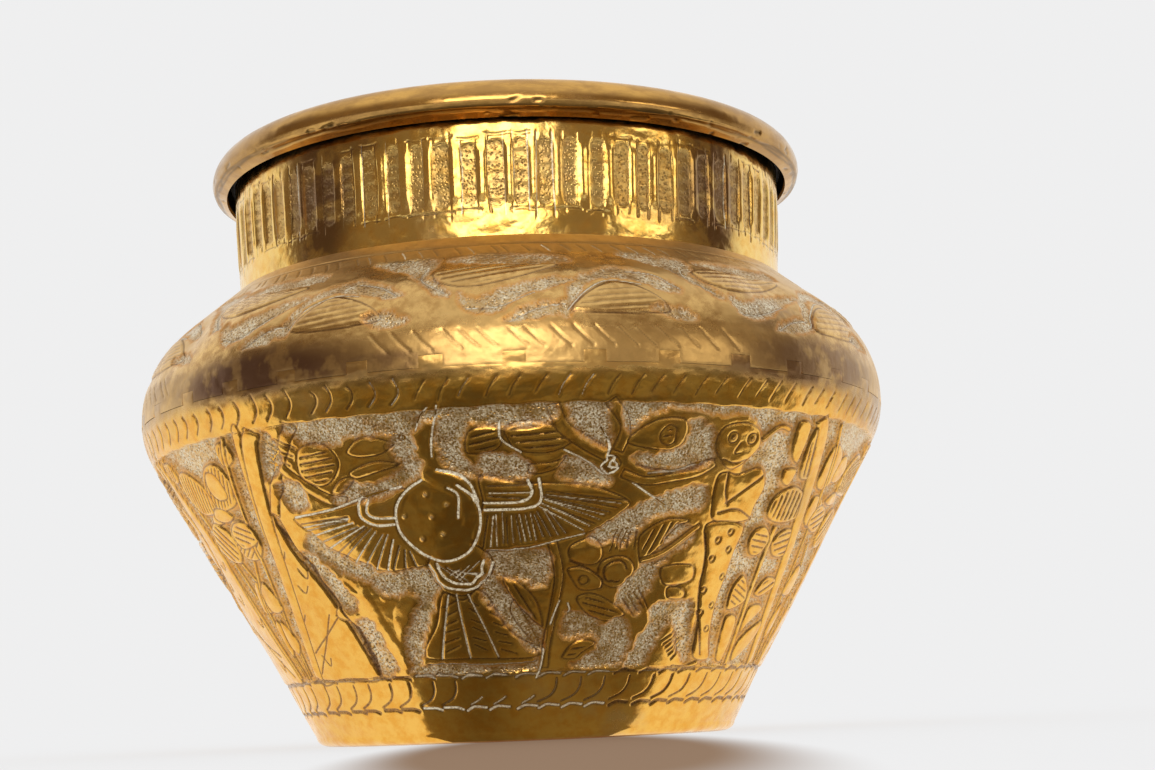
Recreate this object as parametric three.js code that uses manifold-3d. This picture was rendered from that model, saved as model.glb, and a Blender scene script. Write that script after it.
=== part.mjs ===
// Brass urli bowl: a round pot of raised sheet brass with a tapering body, a chased shoulder,
// a fluted collar and a turned-over rim, brazed together from five sheets.
//
// Millimetres, +Z up. The origin is at the middle of the underside, where the pot stands.
// The body is turned about Z, so every sheet is a revolved section; the tabs of the two cramp
// seams and the flutes of the collar are cut with booleans.

import * as THREE from 'three';
import { mergeVertices } from 'three/addons/utils/BufferGeometryUtils.js';
import Module from 'manifold-3d';

const wasm = await Module();
wasm.setup();

// Driving dimensions

const SHEET = 1.4; // thickness of the body and shoulder sheets
const COLLAR_SHEET = 1.3;
const RIM_SHEET = 1.2;
const GAP = 0.3; // clearance between neighbouring sheets and solder
const SEGMENTS = 60; // facets round the pot
const WELD = 1e-4; // points closer than this are one point

const BASE_FLAT_RADIUS = 58; // the flat that the pot stands on
const BASE_CORNER_RISE = 2.6;
const BASE_DISC_RADIUS = 47.5;
const WALL_FOOT_RADIUS = 62.2; // outside of the wall just above the base corner
const WALL_TOP_RADIUS = 108.1; // where the straight taper meets the belly
const WALL_TOP_HEIGHT = 84;

const BELLY_RADIUS = 111; // the widest part, just above the seam
const BELLY_HEIGHT = 96;
const BELLY_UPRIGHT = 1; // plumb run between the belly's curve and the shoulder's curve
const SEAM_HEIGHT = 93.7;
const TAB_COUNT = 34;
const TAB_WIDTH = 6;
const TAB_RISE = 3.2;
const SEAM_CUT_REACH = 10; // how far the seam's cutting shapes reach past the sheet

const SHOULDER_ARC_RADIUS = 30.8;
const SHOULDER_ARC_DEGREES = 50; // how far the shoulder turns before it runs straight
const CREASE_RADIUS = 84.5; // where the shoulder meets the collar
const CREASE_HEIGHT = 133.6;

const COLLAR_FOOT_RADIUS = 82.7; // outside of the collar, just above the crease
const COLLAR_TOP_RADIUS = 84.1;
const COLLAR_TOP_HEIGHT = 171;
const COLLAR_STRAIGHT_FROM = 160; // above this height the collar no longer opens out
const COLLAR_LAP = 5; // how far the collar's turned-out foot reaches under the shoulder
const COLLAR_BEND_LIFT = 1.2; // the bend of the foot rises into the crease by this much
const COLLAR_BEND_DROP = 0.5; // the bend is this much lower on the inside of the sheet

const FLUTE_COUNT = 74;
const FLUTE_WIDTH = 3.8;
const FLUTE_DEPTH = 0.5;
const FLUTE_BOTTOM = 141.8;
const FLUTE_TOP = 161.2;
const FLUTE_CUT_REACH = 5; // how far a flute's cutting shape reaches past the sheet

const RIM_TOP_HEIGHT = 176.5;
const RIM_TOP_RADIUS = 84.8; // ring that runs along the crown of the rim
const RIM_OUTER_RADIUS = 91;
const RIM_OUTER_HEIGHT = 169.4; // height of the rim's widest ring
const RIM_HOOK_RADIUS = 88.4; // outside of the rim's free lower edge
const RIM_HOOK_HEIGHT = 165.6;
const RIM_SKIRT_HEIGHT = 162; // lower end of the rim's inner skirt
const RIM_CURL_IN = 0.5; // just under its widest ring the rim has already curled in by this much
const RIM_CURL_DROP = 2;

const BASE_BRAZE_HALF_WIDTH = 3;
const BASE_BRAZE_HEIGHT = 1;

const BELLY_BRAZE_BELOW = 4.5; // reach below the middle of the seam
const BELLY_BRAZE_ABOVE = 3;
const BELLY_BRAZE_THICKNESS = 1;
const BELLY_BRAZE_LOW_LEAN = 0.5; // the wall still closes in a little below the seam
const BELLY_BRAZE_HIGH_LEAN = 0.05; // and a little less above it
const BELLY_BRAZE_BEVEL = 1;

const NECK_BRAZE_OUT = 3.2; // start of the bead, outwards from the crease
const NECK_BRAZE_DOWN = 5.8; // start of the bead, down from the crease
const NECK_BRAZE_DEPTH = 1.6;
const NECK_BRAZE_LENGTH = 2.6;

const SOLDER_BOTTOM = -0.6; // heights from the rim's widest ring
const SOLDER_BULGE = 0.4;
const SOLDER_NARROW = 2.2;
const SOLDER_TOP = 3;
const SOLDER_WIDTH = 1.2;
const SOLDER_NARROW_WIDTH = 1;

const ARC_STEPS = 3; // straight steps along a quarter-like arc of a section

// Materials

const POLISHED_BRASS = { color: 0xd99a2b, roughness: 0.28, metalness: 1 };
const TARNISHED_BRASS = { color: 0xb07a35, roughness: 0.42, metalness: 1 };
const BRAZE = { color: 0x6e5430, roughness: 0.6, metalness: 0.9 };
const SOLDER = { color: 0x8c8f94, roughness: 0.5, metalness: 0.9 };

// Sections: lists of [radius, height]

function arc(centre, radius, fromDegrees, toDegrees, steps = ARC_STEPS) {
  const points = [];
  for (let i = 0; i <= steps; i += 1) {
    const angle = THREE.MathUtils.degToRad(fromDegrees + ((toDegrees - fromDegrees) * i) / steps);
    points.push([centre[0] + radius * Math.cos(angle), centre[1] + radius * Math.sin(angle)]);
  }
  return points;
}

// Part of an ellipse whose axes are level and plumb.
function quarter(centre, radii, fromDegrees, toDegrees) {
  return arc([0, 0], 1, fromDegrees, toDegrees).map(([x, y]) => [
    centre[0] + radii[0] * x,
    centre[1] + radii[1] * y,
  ]);
}

// Moves a section line sideways by a distance; positive is to its left as it is walked.
function offsetLine(line, distance) {
  return line.map((point, i) => {
    const before = line[Math.max(i - 1, 0)];
    const after = line[Math.min(i + 1, line.length - 1)];
    const run = after[0] - before[0];
    const rise = after[1] - before[1];
    const length = Math.hypot(run, rise);
    return [point[0] - (distance * rise) / length, point[1] + (distance * run) / length];
  });
}

// A sheet of the given thickness on the left side of its outer line.
function sheetSection(outerLine, thickness) {
  return outerLine.concat(offsetLine(outerLine, thickness).reverse());
}

function revolve(section, segments = SEGMENTS) {
  const points = section.map(([radius, height]) => new THREE.Vector2(radius, height));
  points.push(points[0].clone());
  return orient(new THREE.LatheGeometry(points, segments));
}

// Turns a revolved geometry so that Z is its axis and its faces point out.
function orient(geometry) {
  geometry.rotateX(Math.PI / 2);
  geometry.deleteAttribute('normal');
  geometry.deleteAttribute('uv');
  const merged = mergeVertices(geometry, WELD);
  if (signedVolume(merged) < 0) {
    const index = merged.index;
    for (let i = 0; i < index.count; i += 3) {
      const second = index.getX(i + 1);
      index.setX(i + 1, index.getX(i + 2));
      index.setX(i + 2, second);
    }
  }
  return merged;
}

function signedVolume(geometry) {
  const position = geometry.attributes.position;
  const corners = [new THREE.Vector3(), new THREE.Vector3(), new THREE.Vector3()];
  let volume = 0;
  for (let i = 0; i < geometry.index.count; i += 3) {
    corners.forEach((corner, k) => corner.fromBufferAttribute(position, geometry.index.getX(i + k)));
    volume += corners[0].dot(corners[1].clone().cross(corners[2])) / 6;
  }
  return volume;
}

// Booleans

function toSolid(geometry) {
  const index = geometry.index.array;
  const triangles = [];
  for (let i = 0; i < index.length; i += 3) {
    const [a, b, c] = [index[i], index[i + 1], index[i + 2]];
    if (a !== b && b !== c && c !== a) {
      triangles.push(a, b, c);
    }
  }
  return new wasm.Manifold(
    new wasm.Mesh({
      numProp: 3,
      vertProperties: new Float32Array(geometry.attributes.position.array),
      triVerts: new Uint32Array(triangles),
    }),
  );
}

function toGeometry(solid) {
  const mesh = solid.getMesh();
  const geometry = new THREE.BufferGeometry();
  geometry.setAttribute('position', new THREE.BufferAttribute(new Float32Array(mesh.vertProperties), 3));
  geometry.setIndex(new THREE.BufferAttribute(new Uint32Array(mesh.triVerts), 1));
  return geometry;
}

function block(radialFrom, radialTo, width, bottom, top, turnDegrees) {
  const geometry = new THREE.BoxGeometry(radialTo - radialFrom, width, top - bottom);
  geometry.translate((radialFrom + radialTo) / 2, 0, (bottom + top) / 2);
  geometry.rotateZ(THREE.MathUtils.degToRad(turnDegrees));
  geometry.deleteAttribute('normal');
  geometry.deleteAttribute('uv');
  return toSolid(mergeVertices(geometry, WELD));
}

function ringOfBlocks(count, radialFrom, radialTo, width, bottom, top) {
  let ring = null;
  for (let i = 0; i < count; i += 1) {
    const one = block(radialFrom, radialTo, width, bottom, top, ((i + 0.5) * 360) / count);
    ring = ring === null ? one : ring.add(one);
  }
  return ring;
}

function disc(radius, bottom, top) {
  const geometry = new THREE.CylinderGeometry(radius, radius, top - bottom, SEGMENTS);
  geometry.translate(0, (bottom + top) / 2, 0);
  return toSolid(orient(geometry));
}

// Section lines of the pot's outside, from the base up

function bodyOuterLine() {
  const corner = quarter(
    [BASE_FLAT_RADIUS, BASE_CORNER_RISE],
    [WALL_FOOT_RADIUS - BASE_FLAT_RADIUS, BASE_CORNER_RISE],
    -90,
    0,
  );
  const slope = Math.atan2(WALL_TOP_HEIGHT - BASE_CORNER_RISE, WALL_TOP_RADIUS - WALL_FOOT_RADIUS);
  const rise = BELLY_HEIGHT - WALL_TOP_HEIGHT;
  const turn = Math.PI / 2 - slope;
  const radius = rise / Math.sin(turn);
  const centre = [BELLY_RADIUS - radius, BELLY_HEIGHT];
  const belly = arc(centre, radius, -THREE.MathUtils.radToDeg(turn), 0);
  return corner.concat(belly);
}

function shoulderOuterLine() {
  const centre = [BELLY_RADIUS - SHOULDER_ARC_RADIUS, BELLY_HEIGHT + BELLY_UPRIGHT];
  const round = arc(centre, SHOULDER_ARC_RADIUS, 0, SHOULDER_ARC_DEGREES, ARC_STEPS + 1);
  return round.concat([[CREASE_RADIUS, CREASE_HEIGHT]]);
}

// Slope of the sheet on both sides of the crease's lap
const LAP_SLOPE = THREE.MathUtils.degToRad(90 - SHOULDER_ARC_DEGREES);

// Sub-parts

function baseDisc() {
  return toGeometry(disc(BASE_DISC_RADIUS, 0, SHEET));
}

// The two body sheets are cut from one wall, so that the tabs of the seam interlock.
function wallSolid() {
  const foot = [[BASE_DISC_RADIUS + GAP, 0]];
  const line = foot.concat(bodyOuterLine(), shoulderOuterLine());
  return toSolid(revolve(sheetSection(line, SHEET)));
}

// Everything below the seam, tabs included; grown by a clearance for the sheet above it.
function belowSeam(clearance) {
  const reach = BELLY_RADIUS + SEAM_CUT_REACH;
  const tabs = ringOfBlocks(
    TAB_COUNT,
    BELLY_RADIUS - SEAM_CUT_REACH,
    reach,
    TAB_WIDTH + 2 * clearance,
    SEAM_HEIGHT - TAB_RISE,
    SEAM_HEIGHT + TAB_RISE + clearance,
  );
  return disc(reach, -SEAM_CUT_REACH, SEAM_HEIGHT + clearance).add(tabs);
}

function lowerBody() {
  return toGeometry(wallSolid().intersect(belowSeam(0)));
}

function shoulder() {
  return toGeometry(wallSolid().subtract(belowSeam(GAP)));
}

function neckCollar() {
  const under = (SHEET + GAP) / Math.cos(LAP_SLOPE);
  const bend = [COLLAR_FOOT_RADIUS, CREASE_HEIGHT - under + COLLAR_BEND_LIFT];
  const lapEnd = [bend[0] + COLLAR_LAP * Math.cos(LAP_SLOPE), bend[1] - COLLAR_LAP * Math.sin(LAP_SLOPE)];
  const outer = [
    lapEnd,
    bend,
    [COLLAR_TOP_RADIUS, COLLAR_STRAIGHT_FROM],
    [COLLAR_TOP_RADIUS, COLLAR_TOP_HEIGHT],
  ];
  const inner = [
    [COLLAR_TOP_RADIUS - COLLAR_SHEET, COLLAR_TOP_HEIGHT],
    [COLLAR_TOP_RADIUS - COLLAR_SHEET, COLLAR_STRAIGHT_FROM],
    [bend[0] - COLLAR_SHEET, bend[1] - COLLAR_BEND_DROP],
    [lapEnd[0] - COLLAR_SHEET * Math.sin(LAP_SLOPE), lapEnd[1] - COLLAR_SHEET * Math.cos(LAP_SLOPE)],
  ];
  const sheet = toSolid(revolve(outer.concat(inner), FLUTE_COUNT));
  const middle = (COLLAR_FOOT_RADIUS + COLLAR_TOP_RADIUS) / 2;
  const flutes = ringOfBlocks(
    FLUTE_COUNT,
    middle - FLUTE_DEPTH,
    middle + FLUTE_CUT_REACH,
    FLUTE_WIDTH,
    FLUTE_BOTTOM,
    FLUTE_TOP,
  );
  return toGeometry(sheet.subtract(flutes));
}

// The rim is a hook: an inner skirt inside the collar, over the crown, and down to a free edge
// that stands clear of the collar.
function rimOuterLine() {
  const skirtRadius = COLLAR_TOP_RADIUS - COLLAR_SHEET - GAP - RIM_SHEET;
  const innerRise = RIM_TOP_RADIUS - skirtRadius;
  const crownIn = quarter([RIM_TOP_RADIUS, RIM_TOP_HEIGHT - innerRise], [innerRise, innerRise], 180, 90);
  const crownOut = quarter(
    [RIM_TOP_RADIUS, RIM_OUTER_HEIGHT],
    [RIM_OUTER_RADIUS - RIM_TOP_RADIUS, RIM_TOP_HEIGHT - RIM_OUTER_HEIGHT],
    90,
    0,
  ).slice(1);
  const hook = [
    [RIM_OUTER_RADIUS - RIM_CURL_IN, RIM_OUTER_HEIGHT - RIM_CURL_DROP],
    [RIM_HOOK_RADIUS, RIM_HOOK_HEIGHT],
  ];
  return [[skirtRadius, RIM_SKIRT_HEIGHT]].concat(crownIn, crownOut, hook);
}

function rimRing() {
  return revolve(sheetSection(rimOuterLine(), -RIM_SHEET));
}

// Fillers of the joints

function baseBraze() {
  const bottom = SHEET + GAP;
  const halfTop = BASE_BRAZE_HALF_WIDTH - BASE_BRAZE_HEIGHT;
  return revolve([
    [BASE_DISC_RADIUS - BASE_BRAZE_HALF_WIDTH, bottom],
    [BASE_DISC_RADIUS + BASE_BRAZE_HALF_WIDTH, bottom],
    [BASE_DISC_RADIUS + halfTop, bottom + BASE_BRAZE_HEIGHT],
    [BASE_DISC_RADIUS - halfTop, bottom + BASE_BRAZE_HEIGHT],
  ]);
}

function bellyBraze() {
  const face = BELLY_RADIUS - SHEET - GAP;
  const middle = SEAM_HEIGHT + TAB_RISE / 2;
  const low = [face - BELLY_BRAZE_LOW_LEAN, middle - BELLY_BRAZE_BELOW];
  const high = [face - BELLY_BRAZE_HIGH_LEAN, middle + BELLY_BRAZE_ABOVE];
  const inwards = ([radius, height]) => [radius - BELLY_BRAZE_THICKNESS, height + BELLY_BRAZE_BEVEL];
  return revolve([low, high, inwards(high), inwards(low)]);
}

function neckBraze() {
  const start = [CREASE_RADIUS + NECK_BRAZE_OUT, CREASE_HEIGHT - NECK_BRAZE_DOWN];
  const along = (distance, depth) => [
    start[0] + distance * Math.cos(LAP_SLOPE) - depth * Math.sin(LAP_SLOPE),
    start[1] - distance * Math.sin(LAP_SLOPE) - depth * Math.cos(LAP_SLOPE),
  ];
  return revolve([along(NECK_BRAZE_LENGTH, 0), along(0, NECK_BRAZE_DEPTH), along(0, 0)]);
}

function rimSolder() {
  const face = COLLAR_TOP_RADIUS + GAP;
  return revolve([
    [face, RIM_OUTER_HEIGHT + SOLDER_BOTTOM],
    [face + SOLDER_WIDTH, RIM_OUTER_HEIGHT + SOLDER_BULGE],
    [face + SOLDER_NARROW_WIDTH, RIM_OUTER_HEIGHT + SOLDER_NARROW],
    [face, RIM_OUTER_HEIGHT + SOLDER_TOP],
  ]);
}

// Assembly

function piece(name, geometry, look) {
  geometry.computeVertexNormals();
  const mesh = new THREE.Mesh(geometry, new THREE.MeshStandardMaterial(look));
  mesh.name = name;
  return mesh;
}

const bowl = new THREE.Group();
bowl.add(
  piece('base_disc', baseDisc(), POLISHED_BRASS),
  piece('lower_body', lowerBody(), POLISHED_BRASS),
  piece('shoulder', shoulder(), TARNISHED_BRASS),
  piece('neck_collar', neckCollar(), POLISHED_BRASS),
  piece('rim_ring', rimRing(), POLISHED_BRASS),
  piece('base_braze', baseBraze(), BRAZE),
  piece('belly_braze', bellyBraze(), BRAZE),
  piece('neck_braze', neckBraze(), BRAZE),
  piece('rim_solder', rimSolder(), SOLDER),
);

export default bowl;
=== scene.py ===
"""Looks of the brass urli bowl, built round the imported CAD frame.

The chased relief is real geometry. Each visible sheet is a fine revolved grid whose heights are drawn on an
unrolled canvas: columns are degrees round the pot (0 faces -Y, positive to its right) and rows are
millimetres up the section. Marks on the same canvas steer the brass materials.
"""

import math

import bmesh
import bpy
import numpy as np
from mathutils import Matrix, Vector

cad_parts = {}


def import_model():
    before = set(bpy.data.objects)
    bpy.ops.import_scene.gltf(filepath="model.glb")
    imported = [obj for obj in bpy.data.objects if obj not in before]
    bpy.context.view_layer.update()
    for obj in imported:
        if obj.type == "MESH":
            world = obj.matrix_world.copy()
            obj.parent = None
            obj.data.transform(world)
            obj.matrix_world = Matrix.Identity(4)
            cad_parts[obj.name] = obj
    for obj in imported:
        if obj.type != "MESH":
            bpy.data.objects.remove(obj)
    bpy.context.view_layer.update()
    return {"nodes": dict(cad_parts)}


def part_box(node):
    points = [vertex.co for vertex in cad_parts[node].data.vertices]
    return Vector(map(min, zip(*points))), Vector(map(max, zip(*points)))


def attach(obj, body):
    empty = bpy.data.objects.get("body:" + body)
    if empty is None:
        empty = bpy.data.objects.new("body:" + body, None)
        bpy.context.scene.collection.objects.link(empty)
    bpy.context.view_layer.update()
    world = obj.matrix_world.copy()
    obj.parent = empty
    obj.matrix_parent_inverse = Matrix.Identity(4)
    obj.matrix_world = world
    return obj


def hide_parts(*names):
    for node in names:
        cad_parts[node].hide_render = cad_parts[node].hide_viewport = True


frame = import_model()


MM = 0.001
rng = np.random.default_rng(11)


# Sizes, in millimetres: first those read from the frame's nodes, then those of the CAD's section lines


def lowest(name):
    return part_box(name)[0][2] / MM


def highest(name):
    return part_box(name)[1][2] / MM


def widest(name):
    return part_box(name)[1][0] / MM


BELLY_RADIUS = widest("shoulder")
CREASE_HEIGHT = highest("shoulder")
SEAM_GAP = 0.3
HAIRLINE = 0.05
SEAM_HEIGHT = lowest("shoulder") - SEAM_GAP
TAB_TOP = highest("lower_body")
COLLAR_TOP = highest("neck_collar")
DISC_RADIUS = widest("base_disc")
SHEET = highest("base_disc")
RIM_RADIUS = widest("rim_ring")
RIM_TOP = highest("rim_ring")
RIM_SKIRT_LOW = lowest("rim_ring")

BASE_FLAT_RADIUS = 58
BASE_CORNER_RISE = 2.6
WALL_FOOT_RADIUS = 62.2
WALL_TOP_RADIUS = 108.1
WALL_TOP_HEIGHT = 84
BELLY_HEIGHT = 96
SHOULDER_ARC_RADIUS = 30.8
SHOULDER_ARC_DEGREES = 50
CREASE_RADIUS = 84.5
COLLAR_FOOT_RADIUS = 82.7
COLLAR_RADIUS = 84.1
COLLAR_STRAIGHT_FROM = 160
COLLAR_SHEET = 1.3
RIM_SHEET = 1.2
RIM_CROWN_RADIUS = 84.8
RIM_OUTER_HEIGHT = 169.4
RIM_HOOK_RADIUS = 86.8
RIM_HOOK_HEIGHT = 165.6
TAB_COUNT = 34
TAB_WIDTH = 6
FLUTE_COUNT = 74
FLUTE_LOW = 8
FLUTE_HIGH = 27.5
FLUTE_HALF = 1.42


# Section lines


ARC_STEPS = 24


def arc(centre, radii, start, end):
    angles = np.radians(np.linspace(start, end, ARC_STEPS + 1))
    return [(centre[0] + radii[0] * math.cos(a), centre[1] + radii[1] * math.sin(a)) for a in angles]


class Section:
    """A section line of the pot: points of radius and height, walked by length in millimetres."""

    def __init__(self, points, start=0.0):
        self.points = np.array(points, dtype=float)
        steps = np.hypot(*np.diff(self.points, axis=0).T)
        self.walk = start + np.concatenate([[0.0], np.cumsum(steps)])

    def at(self, v):
        radius = np.interp(v, self.walk, self.points[:, 0])
        height = np.interp(v, self.walk, self.points[:, 1])
        return radius, height

    def normal(self, v, reach=0.5):
        low = np.clip(np.asarray(v) - reach, self.walk[0], self.walk[-1])
        high = np.clip(np.asarray(v) + reach, self.walk[0], self.walk[-1])
        (r0, z0), (r1, z1) = self.at(low), self.at(high)
        length = np.hypot(r1 - r0, z1 - z0)
        return (z1 - z0) / length, -(r1 - r0) / length


def body_section():
    flat = [(DISC_RADIUS + SEAM_GAP, 0), (BASE_FLAT_RADIUS, 0)]
    corner_width = WALL_FOOT_RADIUS - BASE_FLAT_RADIUS
    corner = arc((BASE_FLAT_RADIUS, BASE_CORNER_RISE), (corner_width, BASE_CORNER_RISE), -90, 0)
    slope = math.atan2(WALL_TOP_HEIGHT - BASE_CORNER_RISE, WALL_TOP_RADIUS - WALL_FOOT_RADIUS)
    turn = math.pi / 2 - slope
    radius = (BELLY_HEIGHT - WALL_TOP_HEIGHT) / math.sin(turn)
    belly = arc((BELLY_RADIUS - radius, BELLY_HEIGHT), (radius, radius), -math.degrees(turn), 0)
    points = flat + corner[1:] + belly + [(BELLY_RADIUS, BELLY_HEIGHT + 1)]
    below = Section(flat + corner[1:])
    return Section(points, start=-below.walk[-1])


def shoulder_section():
    radius = SHOULDER_ARC_RADIUS
    turned = arc((BELLY_RADIUS - radius, BELLY_HEIGHT + 1), (radius, radius), 0, SHOULDER_ARC_DEGREES)
    low = SEAM_HEIGHT + HAIRLINE
    points = [(BELLY_RADIUS, low)] + turned + [(CREASE_RADIUS, CREASE_HEIGHT)]
    return Section(points, start=low - BELLY_HEIGHT)


def collar_section():
    foot = (COLLAR_FOOT_RADIUS, CREASE_HEIGHT - 1)
    lap = (COLLAR_FOOT_RADIUS + 3.7, CREASE_HEIGHT - 4)
    points = [lap, foot, (COLLAR_RADIUS, COLLAR_STRAIGHT_FROM), (COLLAR_RADIUS, COLLAR_TOP)]
    lead = math.dist(lap, foot) + 1
    return Section(points, start=-lead)


def rim_section():
    """From the free lower edge up over the crown and down the inner skirt."""
    skirt = COLLAR_RADIUS - COLLAR_SHEET - SEAM_GAP - RIM_SHEET
    rise = RIM_CROWN_RADIUS - skirt
    under = (RIM_RADIUS - 0.5, RIM_OUTER_HEIGHT - 2)
    outer = arc(
        (RIM_CROWN_RADIUS, RIM_OUTER_HEIGHT),
        (RIM_RADIUS - RIM_CROWN_RADIUS, RIM_TOP - RIM_OUTER_HEIGHT),
        0,
        90,
    )
    inner = arc((RIM_CROWN_RADIUS, RIM_TOP - rise), (rise, rise), 90, 180)
    return Section([(RIM_HOOK_RADIUS, RIM_HOOK_HEIGHT), under] + outer + inner[1:] + [(skirt, RIM_SKIRT_LOW)])


# Drawing on an unrolled sheet


def smooth(points, closed=False, per=6):
    """A Catmull-Rom curve through given points."""
    p = np.array(points, dtype=float)
    if len(p) < 3:
        return p
    if closed:
        p = np.vstack([p[-1], p, p[0], p[1]])
    else:
        p = np.vstack([2 * p[0] - p[1], p, 2 * p[-1] - p[-2]])
    t = np.linspace(0, 1, per, endpoint=False)[:, None]
    parts = []
    for i in range(1, len(p) - 2):
        a, b, c, d = p[i - 1 : i + 3]
        straight = 2 * b + (c - a) * t
        parts.append(0.5 * (straight + (2 * a - 5 * b + 4 * c - d) * t**2 + (3 * b - a - 3 * c + d) * t**3))
    if not closed:
        parts.append(p[-2][None])
    return np.vstack(parts)


def ease(x):
    x = np.clip(x, 0, 1)
    return x * x * (3 - 2 * x)


RELIEF = 1.45
CUT_DEPTH = 0.32
OUTLINE_DEPTH = 0.28
OUTLINE_INSET = 0.55
GROUND_SLOPE = 2.1
PATCH_OUTSET = 1.5
PLATE_OUTSET = 1.3
BODY_GROUND = 1.2
SHOULDER_GROUND = 0.6
COLLAR_GROUND = 0.5
RIM_GROUND = 0.3


class Canvas:
    """An unrolled sheet of cells. Its fields are:

    panel, where the ground is sunk, and cover, where shapes cover it again; crown and cut, how far the metal
    rises or is chased in; and dull, stain and chalk, which steer the material."""

    STEP_DEG = 0.16
    STEP_MM = 0.25
    FIELDS = ("cover", "crown", "cut", "panel", "dull", "chalk", "stain")

    def __init__(self, section, low, high):
        self.low = low
        self.v = low + np.arange(int((high - low) / self.STEP_MM) + 2) * self.STEP_MM
        self.columns = int(round(360 / self.STEP_DEG))
        self.deg = -180 + np.arange(self.columns) * self.STEP_DEG
        self.scale = section.at(self.v)[0] * math.pi / 180
        for field in self.FIELDS:
            setattr(self, field, np.zeros((len(self.v), self.columns), np.float32))

    def mm_per_degree(self, v):
        return float(np.interp(v, self.v, self.scale))

    def window(self, line, margin):
        """The cells near a line, with their degrees, heights and millimetres per degree."""
        low, high = line[:, 1].min() - margin, line[:, 1].max() + margin
        r0 = max(0, int((low - self.low) / self.STEP_MM))
        r1 = min(len(self.v), int((high - self.low) / self.STEP_MM) + 2)
        if r1 <= r0:
            return None
        wide = margin / self.scale[r0:r1].min()
        c0 = int((line[:, 0].min() - wide + 180) / self.STEP_DEG)
        c1 = int((line[:, 0].max() + wide + 180) / self.STEP_DEG) + 2
        degrees = -180 + np.arange(c0, c1) * self.STEP_DEG
        cells = np.ix_(np.arange(r0, r1), np.arange(c0, c1) % self.columns)
        return cells, degrees[None, :], self.v[r0:r1, None], self.scale[r0:r1, None]

    def distance(self, line, view):
        _, deg, v, scale = view
        best = np.full(np.broadcast(deg, v).shape, 1e6)
        for (x0, v0), (x1, v1) in zip(line[:-1], line[1:]):
            px, py = (deg - x0) * scale, v - v0
            dx, dy = (x1 - x0) * scale, v1 - v0
            t = np.clip((px * dx + py * dy) / (dx * dx + dy * dy + 1e-9), 0, 1)
            best = np.minimum(best, (px - t * dx) ** 2 + (py - t * dy) ** 2)
        return np.sqrt(best)

    def lift(self, field, cells, values):
        """Raises a field to the values where they are higher."""
        layer = getattr(self, field)
        layer[cells] = np.maximum(layer[cells], values)

    def stroke(self, points, width=0.8, depth=CUT_DEPTH, curved=True, chalk=0.0):
        """A chased line; chalk says how far dried polish fills it."""
        line = smooth(points) if curved else np.array(points, float)
        view = self.window(line, width)
        if view is None:
            return
        d = self.distance(line, view)
        self.lift("cut", view[0], depth * ease(1 - d / (0.75 * width)))
        if chalk:
            self.lift("chalk", view[0], chalk * ease((0.5 * width - d) / (0.35 * width)))

    def inside(self, line, view):
        _, deg, v, _ = view
        result = np.zeros(np.broadcast(deg, v).shape, bool)
        for (x0, v0), (x1, v1) in zip(line, np.roll(line, -1, axis=0)):
            if v0 == v1:
                continue
            crossing = (v0 > v) != (v1 > v)
            result ^= crossing & (deg < (x1 - x0) * (v - v0) / (v1 - v0) + x0)
        return result

    def signed(self, line, view):
        """Distance to a closed outline, positive inside it."""
        d = self.distance(np.vstack([line, line[:1]]), view)
        return np.where(self.inside(line, view), d, -d)

    def patch(self, points, rag=0.35):
        """A place where the metal between the shapes is punched down to the stippled ground."""
        line = smooth(points, closed=True)
        line = line + rng.normal(0, rag, line.shape) / (self.mm_per_degree(line[:, 1].mean()), 1)
        view = self.window(line, 2.5)
        cells = view[0]
        bare = 1 - ease((self.signed(line, view) + PATCH_OUTSET) / GROUND_SLOPE)
        self.cover[cells] = np.minimum(self.cover[cells], bare)

    def plate(self, points, height=0.35, edge=0.9, outline=True, curved=True, hatch=None):
        """A raised shape that stands out of the recessed ground, with a chased line round it."""
        line = smooth(points, closed=True) if curved else np.array(points, float)
        view = self.window(line, 1.5)
        if view is None:
            return
        signed = self.signed(line, view)
        cells = view[0]
        clear = 1 - ease((signed - 0.2) / 0.5)
        self.cut[cells] *= clear
        self.chalk[cells] *= clear
        self.lift("cover", cells, ease((signed + PLATE_OUTSET) / GROUND_SLOPE))
        self.lift("crown", cells, RELIEF * height * (1 - np.exp(-np.clip(signed, 0, None) / edge)))
        if outline:
            self.lift("cut", cells, OUTLINE_DEPTH * ease(1 - np.abs(signed - OUTLINE_INSET) / 0.5))
        if hatch is not None:
            self.hatch_cells(view, signed, *hatch)

    def hatch_cells(self, view, signed, angle, spacing, depth=0.3):
        """Parallel cuts inside an outline, at an angle in degrees and a spacing in millimetres."""
        cells, deg, v, scale = view
        a = math.radians(angle)
        across = deg * scale * math.sin(a) - v * math.cos(a)
        wave = np.cos(2 * math.pi * across / spacing)
        self.lift("cut", cells, depth * ease((wave - 0.15) / 0.7) * ease((signed - 1.2) / 0.6))

    def dot(self, x, v, radius, height=0.0, ring=True, chalk=0.0):
        scale = self.mm_per_degree(v)
        turn = np.linspace(0, 2 * math.pi, 15)
        circle = np.stack([x + radius / scale * np.cos(turn), v + radius * np.sin(turn)], 1)
        if ring:
            self.stroke(circle, 0.6, 0.3, curved=False)
        if height:
            view = self.window(circle, 1)
            d = self.distance(np.array([(x, v), (x, v + 0.01)]), view)
            self.crown[view[0]] += height * ease(1 - d / radius)
            self.lift("chalk", view[0], chalk * ease(1.3 - d / radius))

    def stain_at(self, spots):
        """Dark purple-brown in soft ovals, mostly tarnish: degrees, millimetres up, both half sizes, and
        strength.
        """
        for x, v, wide, tall, strength in spots:
            apart = (self.deg[None, :] - x + 180) % 360 - 180
            spot = strength * ease(1.5 - np.hypot(apart / wide, (self.v[:, None] - v) / tall))
            self.stain[:] = np.maximum(self.stain, spot)

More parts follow.
